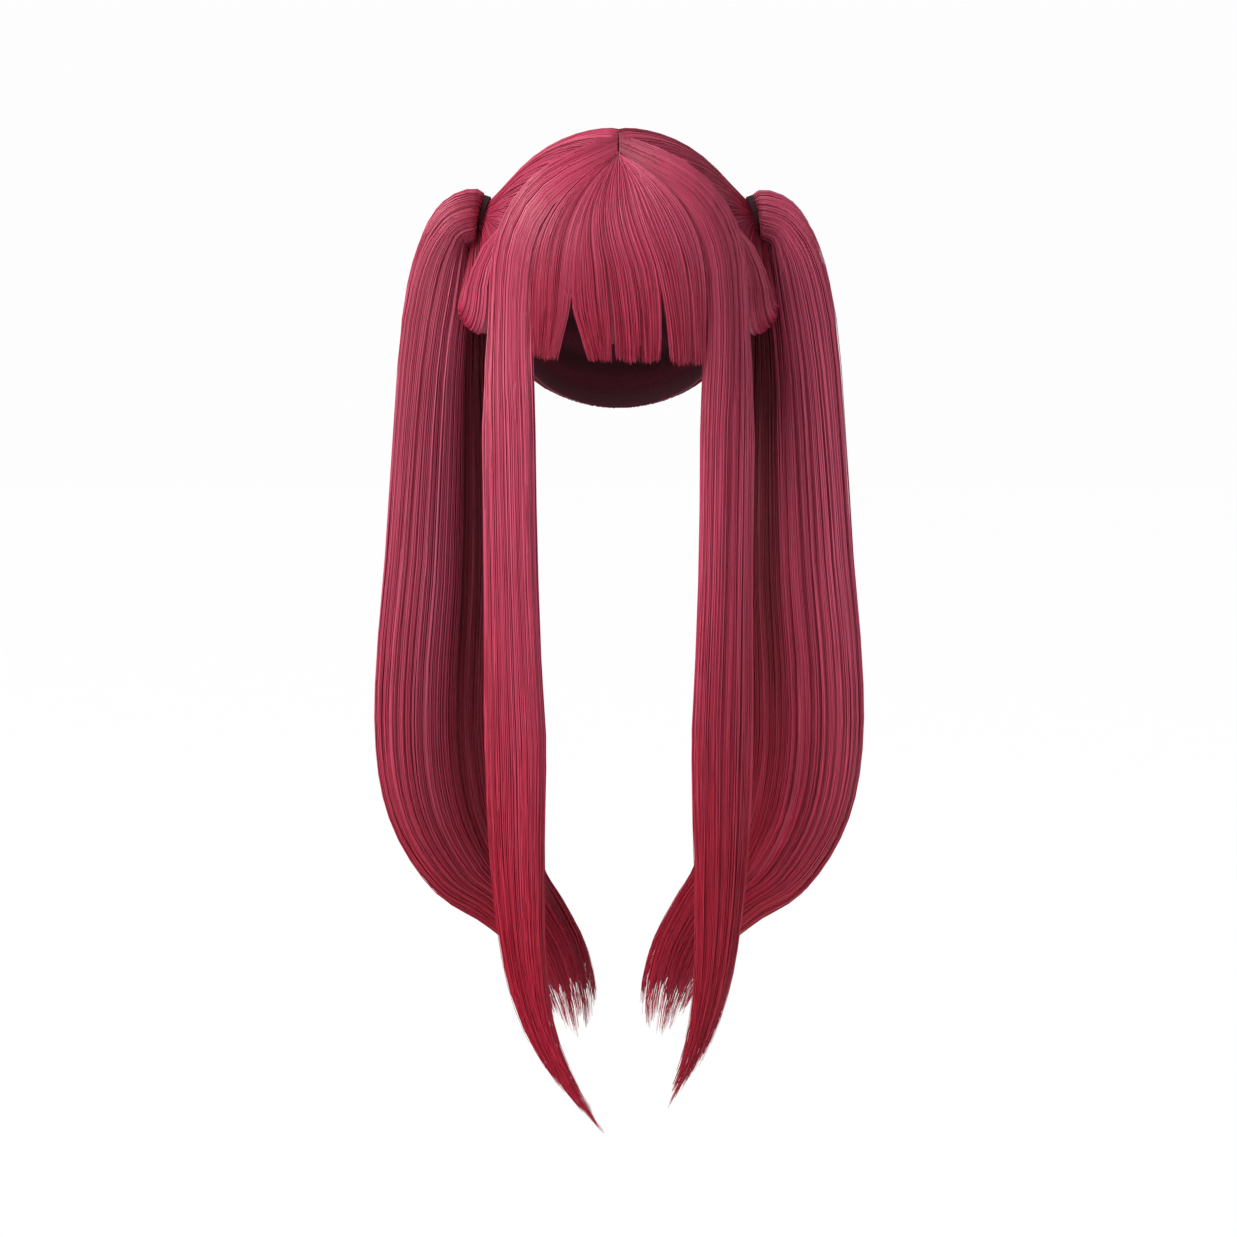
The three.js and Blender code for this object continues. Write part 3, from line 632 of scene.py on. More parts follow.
def root_dip(along):
    """How far the hair lies below its layer where it comes up out of the parting."""
    deepest = OVER_CROWN - CROWN_TOP + PART_DEPTH + LEAVES_PART["sunk"]
    return deepest * (1 - smoothstep(0, LEAVES_PART["risen_at"], along))


def lock_at(across, edges):
    """Number of the lock that a place across a sheet belongs to."""
    return np.clip(np.searchsorted(edges, across, side="right") - 1, 0, len(edges) - 2)


def gathered(across, edges, share):
    """Across, drawn by a share towards the middle of its lock."""
    lock = lock_at(across, edges)
    return across + share * ((edges[lock] + edges[lock + 1]) / 2 - across)


def strand_room(along, root, gain, opens, closes=(0.7, 1), lost=0.0):
    """Radius round a guide that its strands spread over: small at the root, and smaller again at the end."""
    return (root + gain * smoothstep(*opens, along)) * (1 - lost * smoothstep(*closes, along))


def sheet_solid(name, node, sheets, across_length, along_length):
    """Closed sheets of packed hair, each between two grids of points (rows along it, columns across it)."""
    points, faces, counted = [], [], {"across": [], "along": []}
    for outer, inner in sheets:
        rows, columns = outer.shape[:2]
        first = sum(map(len, points))
        numbers = first + np.arange(2 * rows * columns).reshape(2, rows, columns)
        faces += quads(numbers[0]) + quads(numbers[1].T)
        faces += quads(numbers[:, :, 0]) + quads(numbers[:, -1])
        faces += quads(numbers[:, :, -1].T) + quads(numbers[:, 0].T)
        points += [outer.reshape(-1, 3), inner.reshape(-1, 3)]
        counted["across"].append(np.tile(np.linspace(0, across_length / STRAND_PITCH, columns), 2 * rows))
        down = np.repeat(np.linspace(0, along_length / STRAND_PITCH, rows), columns)
        counted["along"].append(np.tile(down, 2))
    mesh = bpy.data.meshes.new(name)
    mesh.from_pydata(np.concatenate(points).tolist(), [], faces)
    for attribute, values in counted.items():
        write_attribute(mesh, attribute, np.concatenate(values))
    shape = bmesh.new()
    shape.from_mesh(mesh)
    bmesh.ops.remove_doubles(shape, verts=shape.verts, dist=MERGED)
    bmesh.ops.dissolve_degenerate(shape, edges=shape.edges, dist=MERGED)
    bmesh.ops.recalc_face_normals(shape, faces=shape.faces)
    shape.to_mesh(mesh)
    shape.free()
    mesh.shade_smooth()
    mesh.materials.append(packed_hair)
    dress(new_piece(name, mesh), node)


def lock_spans(edges, columns):
    """Places across each lock of a sheet, just inside its edges."""
    ends = zip(edges + LOCK_MARGIN, edges[1:] - LOCK_MARGIN)
    return [np.linspace(low, high, columns)[None, :] for low, high in ends]


packed_hair, tree, surface = new_material("packed_hair")
strand_counts = {}
for axis, attribute, stretch in (("X", "across", 1.0), ("Y", "along", 0.02)):
    counted = add(tree, "ShaderNodeAttribute", attribute_name=attribute).outputs["Fac"]
    stretched = add(tree, "ShaderNodeMath", {0: counted, 1: stretch}, operation="MULTIPLY")
    strand_counts[axis] = stretched.outputs["Value"]
streak(tree, surface, add(tree, "ShaderNodeCombineXYZ", strand_counts).outputs["Vector"], 0.6, HAIR_MID)


def fringe_sheet(across, along, fullness, bottom=FRINGE_BOTTOM, later=0.0):
    """Points of the fringe: across from -1 to 1, along from the parting to the ends, fullness from 0 to 1."""
    lock = lock_at(across, FRINGE_LOCKS)
    bottom = bottom - FRINGE_SLANT * (1 - across) - FRINGE_SHORTER_MM[lock] / 1000
    late = smoothstep(FRINGE_GATHER["from"], 1, along)
    across = gathered(across, FRINGE_LOCKS, FRINGE_GATHER["share"] * late)
    across = across + FRINGE_LEAN[lock] * smoothstep(FRINGE_LEAN_FROM, 1, along)
    depth = depth_from_part(across, along, bottom, later)
    for gap in FRINGE_GAPS:
        opened = np.clip((depth - gap["top_depth"]) / (FRINGE_BOTTOM - gap["top_depth"]), 0, 1)
        width = gap["half_width"] * opened
        away = across - gap["across"]
        pushed = np.sign(away) * (width + np.abs(away) * (1 - width / GAP_REACH))
        across = np.where(np.abs(away) < GAP_REACH, gap["across"] + pushed, across)
    swept = np.clip((across - FRINGE_SWEEP["from"]) / (FRINGE_SWEEP["to"] - FRINGE_SWEEP["from"]), 0, 1)
    still = 1 - smoothstep(FRINGE_SWEEP["until"], 1, along)
    across = across - FRINGE_SWEEP["by"] * 4 * swept * (1 - swept) * still
    thickness = FRINGE_THICKNESS * fullness * out_of_part(along)
    curl = FRINGE_CURL * smoothstep(DOME_DEPTH, FRINGE_BOTTOM, depth)
    height = OVER_CROWN + thickness - curl - root_dip(along)
    return head_point(fan_around(FRINGE_SPREAD * across, depth), depth, height, straight=True)


random = np.random.default_rng(23)
fringe_places = np.sort(scattered(random, FRINGE_GUIDES))
fringe_along = np.linspace(0, 1, FRINGE_STEPS)[None, :]
fringe_guides = fringe_sheet(
    2 * fringe_places[:, None] - 1,
    fringe_along,
    FRINGE_LAYER["inner"] + FRINGE_LAYER["depth"] * np.sqrt(random.random((FRINGE_GUIDES, 1))),
    bottom=FRINGE_BOTTOM - FRINGE_RAGGED * random.random((FRINGE_GUIDES, 1)),
    later=FRINGE_STARTS["first"] + FRINGE_STARTS["spread"] * random.random((FRINGE_GUIDES, 1)),
)
fringe_room = strand_room(fringe_along, root=0.0003, gain=0.0007, opens=(0, 0.5))
comb(
    "fringe_strands", "fringe", fringe_guides, fringe_room,
    banded(random, fringe_places, bands=40, low=0.2, high=0.95),
    tip_shade=0.5, tip=0.3, wander=0.0020, stray=0.003, uneven_ends=0.07, seed=2,
)
along = np.linspace(FRINGE_CORE["from"], FRINGE_CORE["to"], FRINGE_CORE["rows"])[:, None]
fringe_parts = np.array([-1] + [gap["across"] for gap in FRINGE_GAPS] + [1])
sheets = []
for across in lock_spans(fringe_parts, FRINGE_CORE["columns"]):
    sheets.append([fringe_sheet(across, along, fullness) for fullness in FRINGE_CORE["faces"]])
sheet_solid("fringe_core", "fringe", sheets, across_length=0.035, along_length=0.14)


# Side locks
# Two long flat locks of fine hair that leave the parting beside the fringe and hang almost the whole length.
# They narrow to uneven points, which are swept in towards each other.
SIDE_LOCK = profile(
    "depth x y half_width turn_deg thickness",
    (0.110, 0.065, -0.074, 0.0210, 48, 0.007),
    (0.165, 0.066, -0.076, 0.0185, 32, 0.010),
    (0.290, 0.065, -0.078, 0.0180, 25, 0.010),
    (0.370, 0.0635, -0.078, 0.0200, 22, 0.010),
    (0.450, 0.0625, -0.077, 0.0175, 22, 0.009),
    (0.510, 0.059, -0.074, 0.0140, 22, 0.008),
    (0.550, 0.052, -0.071, 0.0105, 22, 0.006),
    (0.585, 0.039, -0.068, 0.0070, 22, 0.004),
    (0.615, 0.022, -0.065, 0.0035, 22, 0.002),
)
SIDE_LOCK_END = SIDE_LOCK["depth"][-1]
SIDE_LOCK_LEAVES_HEAD = (0.085, 0.180)
SIDE_LOCK_SECTORS = {"first": 1.02, "spread": 0.98}
SIDE_LOCK_EDGE = 0.35  # share of its thickness that it has at its edges
SIDE_LOCK_LOCKS = np.array([-1, -0.45, 0.1, 0.62, 1])
SIDE_LOCK_SHORTER = np.array([0.02, 0.0, 0.02, 0.04])
SIDE_LOCK_NOTCH = 0.03
SIDE_LOCK_GATHER = {"share": 0.10, "from": 0.6}
SIDE_LOCK_LAYER = {"depth": 0.25, "outer_share": 0.68}
SIDE_LOCK_PACE = ((0, 0.36, 0.5, 0.64, 1), (0, 0.38, 0.66, 0.78, 1))
SIDE_LOCK_GUIDES = 210
SIDE_LOCK_STEPS = 29
SIDE_LOCK_EDGE_ROOM = 0.8  # how much closer strands keep to their guides at the edges
SIDE_LOCK_CORE = {"from": 0.01, "to": 0.92, "rows": 60, "columns": 33, "across": 0.98, "face": 0.34}
SIDE_LOCK_CORE_SLIMS = {"from": 0.7, "by": 0.5}
SHEET_EDGE = (0.9, 0.98)  # places across a sheet from which its strands lie round its edge
SIDES = (
    {"name": "left", "side": 1, "lock_length": 0.985, "lock_sweep": 0.8},
    {"name": "right", "side": -1, "lock_length": 1.01, "lock_sweep": 1.3},
)


def tip_share(across, edges, notch, shorter):
    """Length left at a place across a sheet whose locks end in points, some of them higher up."""
    lock = lock_at(across, edges)
    place = (across - edges[lock]) / (edges[lock + 1] - edges[lock])
    return 1 - notch * np.abs(2 * place - 1) - shorter[lock]


def paced(count, counted, reached):
    """Shares of a length, closer together where it bends most."""
    return np.interp(np.linspace(0, 1, count), counted, reached)


def side_lock_sheet(across, along, fullness, which):
    """Points of a side lock: on the head at first, and then hanging free."""
    end = SIDE_LOCK_END * tip_share(across, SIDE_LOCK_LOCKS, SIDE_LOCK_NOTCH, SIDE_LOCK_SHORTER)
    late = smoothstep(SIDE_LOCK_GATHER["from"], 1, along)
    across = gathered(across, SIDE_LOCK_LOCKS, SIDE_LOCK_GATHER["share"] * late)
    sector = SIDE_LOCK_SECTORS["first"] + SIDE_LOCK_SECTORS["spread"] * (across + 1) / 2
    depth = depth_from_part(sector, along, end)
    ribbon = lambda column: between(SIDE_LOCK, depth, column)
    rounded = SIDE_LOCK_EDGE + (1 - SIDE_LOCK_EDGE) * np.sqrt(np.maximum(0, 1 - across**2))
    thickness = ribbon("thickness") * fullness * out_of_part(along) * rounded
    lift = OVER_CROWN + thickness - root_dip(along)
    on_head = head_point(fan_around(sector, depth), depth, lift, straight=True)
    turn = np.radians(ribbon("turn_deg"))
    swept = SIDE_LOCK["x"][0] - (SIDE_LOCK["x"][0] - ribbon("x")) * which["lock_sweep"]
    sideways = ribbon("half_width") * across
    longer = 1 + (which["lock_length"] - 1) * smoothstep(SIDE_LOCK_LEAVES_HEAD[1], SIDE_LOCK_END, depth)
    hanging = np.stack([
        swept + sideways * np.cos(turn) + thickness * np.sin(turn),
        ribbon("y") + sideways * np.sin(turn) - thickness * np.cos(turn),
        -depth * longer,
    ], axis=-1)
    free = smoothstep(*SIDE_LOCK_LEAVES_HEAD, depth)[..., None]
    return (on_head + free * (hanging - on_head)) * (which["side"], 1, 1)


side_lock_along = paced(SIDE_LOCK_STEPS, *SIDE_LOCK_PACE)[None, :]
side_lock_room = strand_room(side_lock_along, root=0.0003, gain=0.0012, opens=(0, 0.3), lost=0.6)
for number, which in enumerate(SIDES):
    node = "side_lock_" + which["name"]
    random = np.random.default_rng(31 + number)
    places = np.sort(scattered(random, SIDE_LOCK_GUIDES))
    across = 2 * places[:, None] - 1
    fullness = SIDE_LOCK_LAYER["depth"] * random.random((SIDE_LOCK_GUIDES, 1))
    outer = random.random((SIDE_LOCK_GUIDES, 1)) < SIDE_LOCK_LAYER["outer_share"]
    fullness = np.where(outer, 1 - fullness, fullness)
    fullness += smoothstep(*SHEET_EDGE, np.abs(across)) * (random.random((SIDE_LOCK_GUIDES, 1)) - fullness)
    guides = side_lock_sheet(across, side_lock_along, fullness, which)
    room = side_lock_room * (1 - SIDE_LOCK_EDGE_ROOM * across**6)
    comb(
        "side_lock_strands_" + which["name"], node, guides, room,
        banded(random, places, bands=30, low=0.4, high=1.0),
        tip_shade=1.0, tip=0.4, wander=0.003, stray=0.002, uneven_ends=0.14, seed=3 + number,
    )
    along = np.linspace(SIDE_LOCK_CORE["from"], SIDE_LOCK_CORE["to"], SIDE_LOCK_CORE["rows"])[:, None]
    late = smoothstep(SIDE_LOCK_CORE_SLIMS["from"], SIDE_LOCK_CORE["to"], along)
    slim = 1 - SIDE_LOCK_CORE_SLIMS["by"] * late
    edge = SIDE_LOCK_CORE["across"]
    across = np.linspace(-edge, edge, SIDE_LOCK_CORE["columns"])[None, :] * slim
    faces = (SIDE_LOCK_CORE["face"], -SIDE_LOCK_CORE["face"])
    layers = [side_lock_sheet(across, along, 0.5 + face * slim, which) for face in faces]
    sheet_solid("side_lock_core_" + which["name"], node, [layers], across_length=0.04, along_length=0.6)


# Hair loops
# In front of each tie the hair droops from the temple in a slack loop and turns back up under the tie.
# Its strands lie in nested turns and stand out from the head.
LOOP_CENTRE = {"y": -0.022, "depth": 0.0955}
LOOP_RADIUS = {"inner": 0.003, "outer": 0.0235}
LOOP_BULGE = {"fullest": 0.2, "inwards": 0.25, "outwards": 0.8}  # from the inner to the outer edge
LOOP_FRONT = {"y": -0.056, "depth": 0.046, "spread": -0.008}
LOOP_BACK = {"y": -0.014, "depth": 0.071, "spread": 0.006}
LOOP_ARM = 0.32
LOOP_STAGGER = 0.004
LOOP_THICKNESS = {"edge": 0.0015, "middle": 0.015}
LOOP_SWELL = {"first": 0.06, "last": 0.9, "power": 1.5}
LOOP_SUNK = {"by": 0.004, "until": 0.16}  # where it comes out from under the side lock
LOOP_TUCK = {"out": 0.003, "x": (-0.003, 0.008), "y": (-0.006, 0.012), "z": (0.0022, -0.002)}  # under the tie
LOOP_PACE = ((0, 0.22, 0.78, 1), (0, LOOP_ARM, 1 - LOOP_ARM, 1))
LOOP_LAYER = {"inner": 0.75, "depth": 0.25}
LOOP_ROOM = 0.0010
LOOP_GUIDES = 100
LOOP_STEPS = 21
LOOP_CORE = {"rows": 40, "columns": 17, "across": 0.95, "faces": (0.82, 0.05)}


def loop_sheet(across, along, fullness, side):
    """Points of a loop: across from its inner to its outer turn, along from the temple to the tie."""
    outwards = (across + 1) / 2
    radius = LOOP_RADIUS["inner"] + (LOOP_RADIUS["outer"] - LOOP_RADIUS["inner"]) * outwards
    turn = np.pi * np.clip((along - LOOP_ARM) / (1 - 2 * LOOP_ARM), 0, 1)
    y = LOOP_CENTRE["y"] - radius * np.cos(turn)
    depth = LOOP_CENTRE["depth"] + radius * np.sin(turn)
    for end, climbed in ((LOOP_FRONT, LOOP_ARM - along), (LOOP_BACK, along - 1 + LOOP_ARM)):
        climbed = np.clip(climbed / LOOP_ARM, 0, 1)
        y = y + smoothstep(0, 1, climbed) * (end["y"] + end["spread"] * outwards - y)
        depth = depth + climbed * (end["depth"] - LOOP_STAGGER * outwards - depth)
    half_length = np.abs(head_point(0.0, depth, 0.0)[..., 1])
    around = np.arccos(-y / half_length)
    swell = LOOP_SWELL["first"] + (LOOP_SWELL["last"] - LOOP_SWELL["first"]) * along
    beyond = outwards - LOOP_BULGE["fullest"]
    beyond = beyond / np.where(beyond > 0, LOOP_BULGE["outwards"], LOOP_BULGE["inwards"])
    dome = np.sqrt(np.maximum(0, 1 - beyond**2)) * np.sin(np.pi * swell) ** LOOP_SWELL["power"]
    thicker = LOOP_THICKNESS["middle"] - LOOP_THICKNESS["edge"]
    thickness = fullness * (LOOP_THICKNESS["edge"] + thicker * dome)
    floor = np.maximum(CROWN_TOP, crown_height(around, depth))
    sunk = LOOP_SUNK["by"] * (1 - smoothstep(0, LOOP_SUNK["until"], along))
    points = head_point(around, depth, floor + LAYER_GAP + thickness - sunk)
    tuck = lambda axis, share: LOOP_TUCK[axis][0] + LOOP_TUCK[axis][1] * share + 0 * y
    tucked = np.stack([tuck("x", fullness), tuck("y", outwards), tuck("z", fullness) - ROOT_RADIUS], axis=-1)
    under_tie = TIE_SEAT + LOOP_TUCK["out"] * TIE_AXIS + tucked
    caught = smoothstep(1 - LOOP_ARM, 1, along)[..., None]
    return (points + caught * (under_tie - points)) * (side, 1, 1)


for number, which in enumerate(SIDES):
    node = "hair_loop_" + which["name"]
    random = np.random.default_rng(41 + number)
    places = np.sort(scattered(random, LOOP_GUIDES))
    fullness = LOOP_LAYER["inner"] + LOOP_LAYER["depth"] * np.sqrt(random.random((LOOP_GUIDES, 1)))
    along = paced(LOOP_STEPS, *LOOP_PACE)[None, :]
    guides = loop_sheet(2 * places[:, None] - 1, along, fullness, which["side"])
    comb(
        "hair_loop_strands_" + which["name"], node, guides, LOOP_ROOM,
        banded(random, places, bands=22, low=0.05, high=1.0),
        tip_shade=0.6, tip=0.8, wander=0.002, stray=0.001, uneven_ends=0.0, seed=5 + number,
    )
    across = np.linspace(-LOOP_CORE["across"], LOOP_CORE["across"], LOOP_CORE["columns"])[None, :]
    along = np.linspace(0, 1, LOOP_CORE["rows"])[:, None]
    layers = [loop_sheet(across, along, fullness, which["side"]) for fullness in LOOP_CORE["faces"]]
    sheet_solid("hair_loop_core_" + which["name"], node, [layers], across_length=0.03, along_length=0.1)


# Hair ties
# A dark elastic cord with fine ribs of thread, bought as a plain hair elastic.
# It is wound a few turns side by side round the root of each tail.
TIE_TURNS = 3
TIE_LENGTH = 0.0066
TIE_OUT = 0.0012
TIE_CORD_RADIUS = 0.0012
TIE_COIL_RADIUS = ROOT_RADIUS + 0.0006 + TIE_CORD_RADIUS
TIE_RIBS = 6000.0  # radians of thread to each metre of cord
TIE_COLOUR = (0.030, 0.005, 0.009, 1)
TIE_WORN_COLOUR = (0.085, 0.012, 0.022, 1)


def wound_elastic():
    """Geometry nodes: a cord wound into a coil about Z."""
    tree, inside = new_group("Wound elastic", "GeometryNodeTree", {
        "Geometry": "Geometry", "Turns": "Float", "Coil radius": "Float", "Length": "Float",
        "Cord radius": "Float", "Elastic": "Material",
    }, {"Coil": "Geometry"})
    coil = add(tree, "GeometryNodeCurveSpiral", {
        "Resolution": 40, "Rotations": inside["Turns"], "Start Radius": inside["Coil radius"],
        "End Radius": inside["Coil radius"], "Height": inside["Length"],
    })
    wound = add(tree, "GeometryNodeStoreNamedAttribute", {
        "Geometry": coil.outputs["Curve"], "Name": "wound",
        "Value": add(tree, "GeometryNodeSplineParameter").outputs["Length"],
    })
    circle = {"Resolution": 14, "Radius": inside["Cord radius"]}
    section = add(tree, "GeometryNodeCurvePrimitiveCircle", circle)
    cord = add(tree, "GeometryNodeCurveToMesh", {
        "Curve": wound.outputs["Geometry"], "Profile Curve": section.outputs["Curve"], "Fill Caps": True,
    })
    end_tree(tree, cord.outputs["Mesh"], inside["Elastic"])
    return tree


dark_elastic, tree, surface = new_material("dark_elastic")
wound = add(tree, "ShaderNodeAttribute", attribute_name="wound").outputs["Fac"]
threads = add(tree, "ShaderNodeMath", {0: wound, 1: TIE_RIBS}, operation="MULTIPLY").outputs["Value"]
ribs = add(tree, "ShaderNodeMath", {0: threads}, operation="SINE").outputs["Value"]
bump = add(tree, "ShaderNodeBump", {"Height": ribs, "Distance": 0.0003})
feed(tree, surface, {
    "Base Color": mixed(tree, ribs, TIE_COLOUR, TIE_WORN_COLOUR),
    "Roughness": 0.8,
    "Normal": bump.outputs["Normal"],
})

WOUND_ELASTIC = wound_elastic()
for which in SIDES:
    name = "elastic_tie_" + which["name"]
    tie = new_piece(name, bpy.data.meshes.new(name))
    coil = grown(tie, WOUND_ELASTIC, {
        "Turns": float(TIE_TURNS), "Coil radius": TIE_COIL_RADIUS, "Length": TIE_LENGTH - 2 * TIE_CORD_RADIUS,
        "Cord radius": TIE_CORD_RADIUS, "Elastic": dark_elastic,
    })
    points = np.zeros(len(coil.vertices) * 3, np.float32)
    coil.vertices.foreach_get("co", points)
    points = points.reshape(-1, 3)
    across = np.array([-np.sin(TIE_TILT), 0, np.cos(TIE_TILT)])
    out = TIE_OUT + TIE_CORD_RADIUS + points[:, 2:3]
    placed = TIE_SEAT + out * TIE_AXIS + points[:, 0:1] * across + points[:, 1:2] * np.array([0, 1, 0])
    placed *= (which["side"], 1, 1)
    coil.vertices.foreach_set("co", placed.astype(np.float32).ravel())
    shape = bmesh.new()
    shape.from_mesh(coil)
    bmesh.ops.recalc_face_normals(shape, faces=shape.faces)
    shape.to_mesh(coil)
    shape.free()
    tie.data = coil
    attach(tie, "root")
    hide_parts("hair_tie_" + which["name"])


# Tails
# Two full side tails of fine hair that arch out of their ties and hang in a wide bowed sheet.
# They are swept in at the bottom to thin uneven ends.
TAIL = profile(
    "step out y z lean turn half_width half_thick bow",
    (0, 0, 0, 0, 110, 0, 0.0105, 0.0105, 0),
    (1, 0.0039, 0, 0.0014, 110, 0, 0.0105, 0.0105, 0),
    (2, 0.0077, 0, 0.0028, 108, 0, 0.0105, 0.0104, 0),
    (3, 0.0155, 0, 0.0024, 84, 0, 0.017, 0.014, 0),
    (4, 0.022, 0.001, -0.0055, 58, 6, 0.023, 0.0165, 0),
    (5, 0.025, 0.005, -0.019, 30, 22, 0.028, 0.0175, 0),
    (6, 0.0255, 0.012, -0.048, 8, 40, 0.035, 0.014, 0),
    (7, 0.0225, 0.01, -0.104, 2, 43, 0.044, 0.0145, -0.003),
    (8, 0.0195, 0.008, -0.17, 2, 43, 0.052, 0.015, -0.005),
    (9, 0.025, 0.01, -0.256, 2, 44, 0.058, 0.015, -0.006),
    (10, 0.027, 0.012, -0.332, -2, 44, 0.06, 0.015, -0.006),
    (11, 0.0195, 0.019, -0.387, -14, 46, 0.056, 0.014, -0.006),
    (12, 0.001, 0.03, -0.43, -34, 49, 0.046, 0.012, -0.005),
    (13, -0.02, 0.042, -0.453, -42, 52, 0.034, 0.01, -0.003),
    (14, -0.04, 0.05, -0.48, -30, 58, 0.025, 0.0075, -0.002),
    (15, -0.052, 0.054, -0.511, -14, 64, 0.019, 0.005, -0.001),
    (16, -0.058, 0.056, -0.543, -6, 68, 0.012, 0.0022, 0),
)
TAIL_LOCKS = np.array([-1, -0.72, -0.3, 0.04, 0.4, 0.76, 1])
TAIL_SHORTER = np.array([0.03, 0.01, 0.0, 0.02, 0.01, 0.04])
TAIL_NOTCH = 0.02
TAIL_GATHER = {"share": 0.12, "from": 0.6}
TAIL_SPREAD = 0.98
TAIL_EASE = {"steps": 0.9, "from": (2.8, 4.3), "to": (8, 10)}  # sections a little apart are averaged there
TAIL_FOLD = {"step": 2.75, "reach": 0.75, "back": 0.0075, "swell": 0.0045}  # of the hair back over its tie
TAIL_FILL = {"step": 5.3, "reach": 1.3, "inwards": 0.009}  # of the hair beside the head
TAIL_ROLL = {"steps": (4.8, 7.2), "fuller": 0.3, "full_at": 0.6}  # of the front edge
TAIL_LAYER = {"inner": 0.82, "depth": 0.17}
# painted shade on the inner half of each tail's inner face
TAIL_PAINTED_SHADE = {"across": (-0.62, -0.12), "darker": 0.7}
# painted light on each tail's front edge
TAIL_PAINTED_LIGHT = {"across": (-0.1, 0.4), "lighter": 0.5}
TAIL_PACE = ((0, 0.06, 0.365, 0.455, 0.52, 0.87, 1), (0, 0.11, 0.375, 0.5, 0.6, 0.85, 1))
TAIL_GUIDES = 245
TAIL_STEPS = 40
TAIL_EDGE_ROOM = {"less": 0.95, "from": (0.45, 0.7)}
TAIL_CORE = {"to": 0.95, "rows": 80, "columns": 41, "end_across": 0.80, "more_across": 0.16, "face": 0.80}
TAIL_CORE_SLIMS = {"from": 0.8, "by": 0.85}


def tail_sheet(across, along, face, side):
    """Points of a tail: across from its front to its back edge, face from its inner to its outer side."""
    late = smoothstep(TAIL_GATHER["from"], 1, along)
    step = along * tip_share(across, TAIL_LOCKS, TAIL_NOTCH * late, TAIL_SHORTER) * TAIL["step"][-1]
    across = gathered(across, TAIL_LOCKS, TAIL_GATHER["share"] * late) * TAIL_SPREAD
    hanging = smoothstep(*TAIL_EASE["to"], step)
    ease = TAIL_EASE["steps"] * smoothstep(*TAIL_EASE["from"], step) * (1 - hanging)
    nearby = (step - ease, step, step + ease)
    section = lambda column: sum(between(TAIL, place, column) for place in nearby) / len(nearby)
    fold = np.exp(-(((step - TAIL_FOLD["step"]) / TAIL_FOLD["reach"]) ** 2))
    fill = TAIL_FILL["inwards"] * np.exp(-(((step - TAIL_FILL["step"]) / TAIL_FILL["reach"]) ** 2))
    half_width = section("half_width") + TAIL_FOLD["swell"] * fold
    half_thick = section("half_thick") + TAIL_FOLD["swell"] * fold + np.where(face < 0, fill, 0)
    turn, lean = np.radians(section("turn")), np.radians(section("lean"))
    outward = np.stack([np.cos(turn) * np.cos(lean), np.sin(turn) * np.cos(lean), np.sin(lean)], axis=-1)
    width = np.stack([-np.sin(turn), np.cos(turn), 0 * turn], axis=-1)
    roll = np.where(across < 0, smoothstep(*TAIL_ROLL["steps"], step), 0)
    fuller = 1 + TAIL_ROLL["fuller"] * smoothstep(0, TAIL_ROLL["full_at"], -across)
    flat = np.sqrt(np.maximum(0, 1 - across**2))
    full = np.sqrt(np.maximum(0, 1 - across**4)) * fuller
    rounded = flat + roll * (full - flat)
    rise = section("bow") * (1 - across**2) + face * half_thick * rounded
    centre = np.stack([section("out"), section("y"), section("z")], axis=-1) + TIE_SEAT
    points = centre + width * (across * half_width)[..., None] + outward * rise[..., None]
    return (points - TAIL_FOLD["back"] * fold[..., None] * TIE_AXIS) * (side, 1, 1)


tail_along = paced(TAIL_STEPS, *TAIL_PACE)[None, :]
tail_room = strand_room(tail_along, root=0.0005, gain=0.0018, opens=(0.1, 0.4), closes=(0.8, 1), lost=0.6)
for number, which in enumerate(SIDES):
    node = "pigtail_" + which["name"]
    random = np.random.default_rng(51 + number)
    places = np.sort(scattered(random, TAIL_GUIDES))
    across = np.sin((places[:, None] - 0.5) * np.pi)
    face = np.where(random.random((TAIL_GUIDES, 1)) < 0.5, 1, -1)
    face = face * (TAIL_LAYER["inner"] + TAIL_LAYER["depth"] * random.random((TAIL_GUIDES, 1)))
    face += smoothstep(*SHEET_EDGE, np.abs(across)) * (2 * random.random((TAIL_GUIDES, 1)) - 1 - face)
    # painted shade: the inner half of each tail's inner face, beside the head, is darkened as if in the
    # head's shadow
    painted_shade = np.where(face < 0, smoothstep(*TAIL_PAINTED_SHADE["across"], across), 0)
    # painted light: each tail's front edge is lightened as if it caught the key light
    painted_light = smoothstep(*TAIL_PAINTED_LIGHT["across"], -across)
    shade = banded(random, places, bands=40) * (1 - painted_shade)
    shade = shade - TAIL_PAINTED_SHADE["darker"] * painted_shade + TAIL_PAINTED_LIGHT["lighter"] * painted_light
    crowded = TAIL_EDGE_ROOM["less"] * across**6 * smoothstep(*TAIL_EDGE_ROOM["from"], tail_along)
    guides = tail_sheet(across, tail_along, face, which["side"])
    comb(
        "tail_strands_" + which["name"], node, guides, tail_room * (1 - crowded), shade,
        tip_shade=1.0, tip=0.3, wander=0.002, stray=0.0015, uneven_ends=0.13, seed=7 + number,
    )
    along = TAIL_CORE["to"] * paced(TAIL_CORE["rows"], *TAIL_PACE)[:, None]
    slim = 1 - TAIL_CORE_SLIMS["by"] * smoothstep(TAIL_CORE_SLIMS["from"], TAIL_CORE["to"], along)
    around = np.linspace(-1, 1, TAIL_CORE["columns"])[None, :]
    across = np.sin(around * np.pi / 2) * (TAIL_CORE["end_across"] + TAIL_CORE["more_across"] * slim)
    faces = (TAIL_CORE["face"], -TAIL_CORE["face"])
    layers = [tail_sheet(across, along, face * slim, which["side"]) for face in faces]
    sheet_solid("tail_core_" + which["name"], node, [layers], across_length=0.1, along_length=0.6)


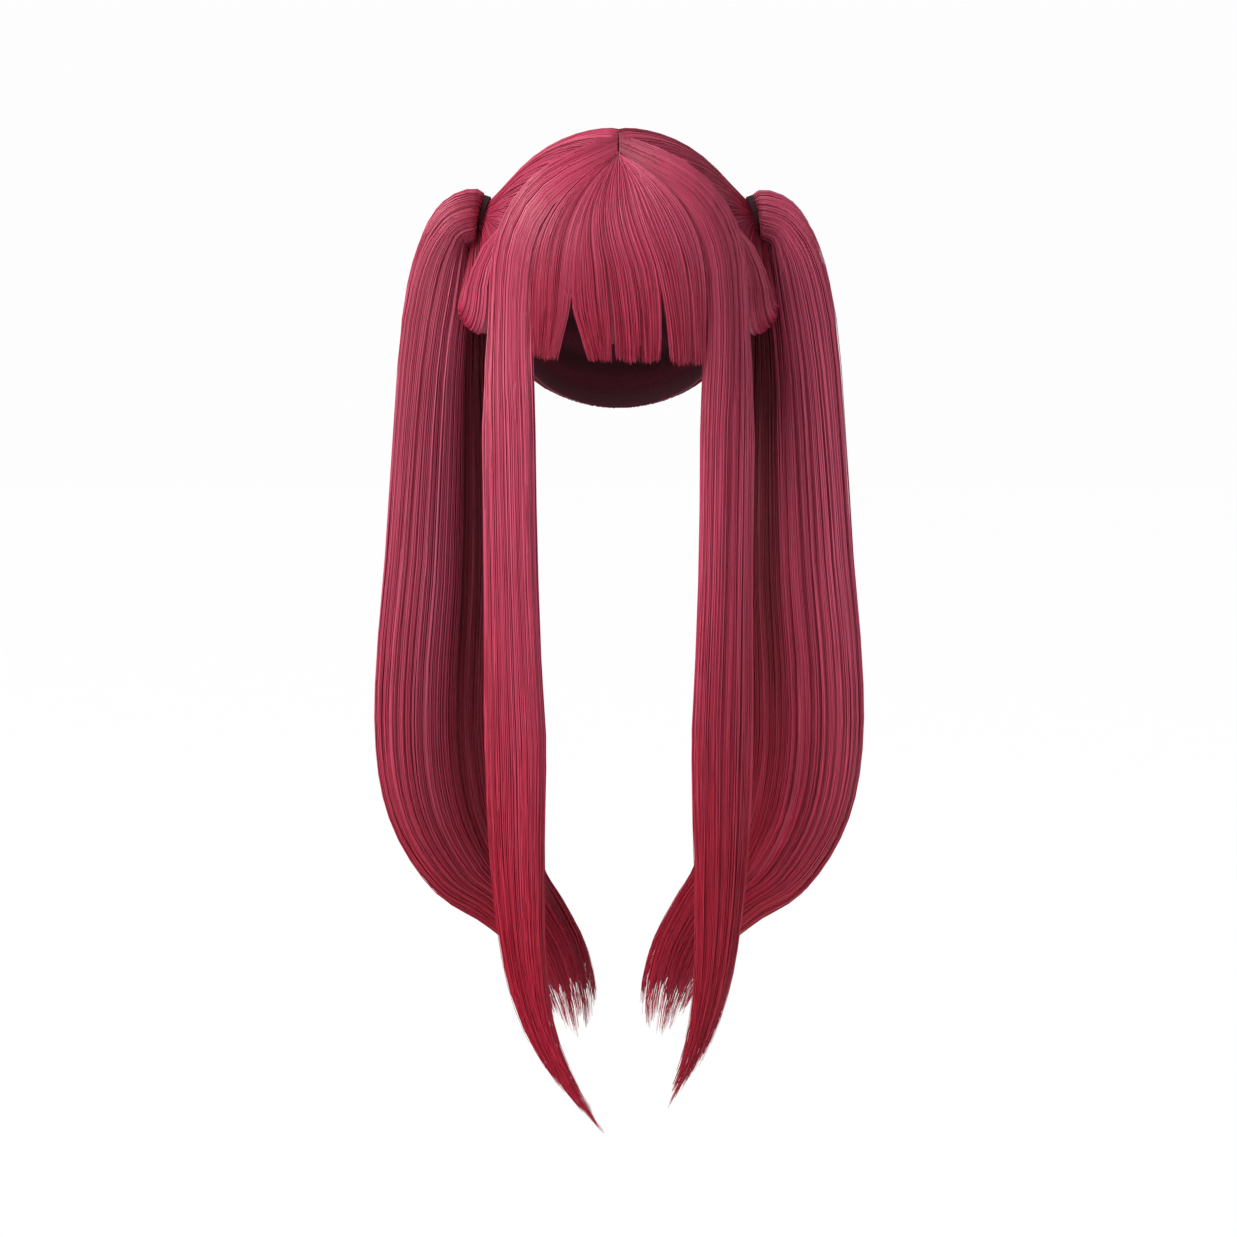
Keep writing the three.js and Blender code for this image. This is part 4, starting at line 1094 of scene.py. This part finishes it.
# Stage
# A pale floor well below the hair, soft white light all round, and a large soft light from the upper left.
# The camera stands in front, a little above the middle of the hair.
FLOOR_DROP = 0.6
FLOOR_REACH = 30.0
AMBIENT = 0.46
SKY = 0.985  # brightness of the light all round where the camera sees it
KEY_LIGHT = {"energy": 3.6, "angle_deg": 40, "shines": (0.95, 0.68, -0.65)}
LENS_MM = 85
SENSOR_MM = 36
FRAME_SHARE = 0.78  # of the picture's height that the wig fills
ELEVATION = np.radians(4.5)
WHITE = (1, 1, 1, 1)

floor_level = cad_box[0][2] - FLOOR_DROP
corners = [(x * FLOOR_REACH, y * FLOOR_REACH, floor_level) for x, y in ((-1, -1), (1, -1), (1, 1), (-1, 1))]
floor_mesh = bpy.data.meshes.new("floor")
floor_mesh.from_pydata(corners, [], [(0, 1, 2, 3)])
floor = new_piece("floor", floor_mesh)
pale, tree, surface = new_material("pale_floor")
feed(tree, surface, {"Base Color": WHITE, "Roughness": 0.9})
floor_mesh.materials.append(pale)

world = bpy.data.worlds.new("studio")
bpy.context.scene.world = world
world.use_nodes = True
sky = world.node_tree
seen = add(sky, "ShaderNodeLightPath").outputs["Is Camera Ray"]
strength = ranged(sky, seen, (0.0, 1.0), (AMBIENT, SKY))
feed(sky, sky.nodes["Background"], {"Color": WHITE, "Strength": strength})

key_lamp = bpy.data.lights.new("key_light", "SUN")
key_lamp.energy = KEY_LIGHT["energy"]
key_lamp.angle = np.radians(KEY_LIGHT["angle_deg"])
key_light = new_piece("key_light", key_lamp)
key_light.rotation_euler = Vector(KEY_LIGHT["shines"]).to_track_quat("-Z", "Y").to_euler()

middle = Vector((0, 0, (cad_box[0][2] + cad_box[1][2]) / 2))
tall = cad_box[1][2] - cad_box[0][2]
distance = tall / FRAME_SHARE * LENS_MM / SENSOR_MM
view = bpy.data.cameras.new("front_view")
view.lens = LENS_MM
view.sensor_width = SENSOR_MM
camera = new_piece("front_view", view)
camera.location = middle + distance * Vector((0, -np.cos(ELEVATION), np.sin(ELEVATION)))
camera.rotation_euler = (middle - camera.location).to_track_quat("-Z", "Y").to_euler()
bpy.context.scene.camera = camera
bpy.context.scene.view_settings.view_transform = "Standard"
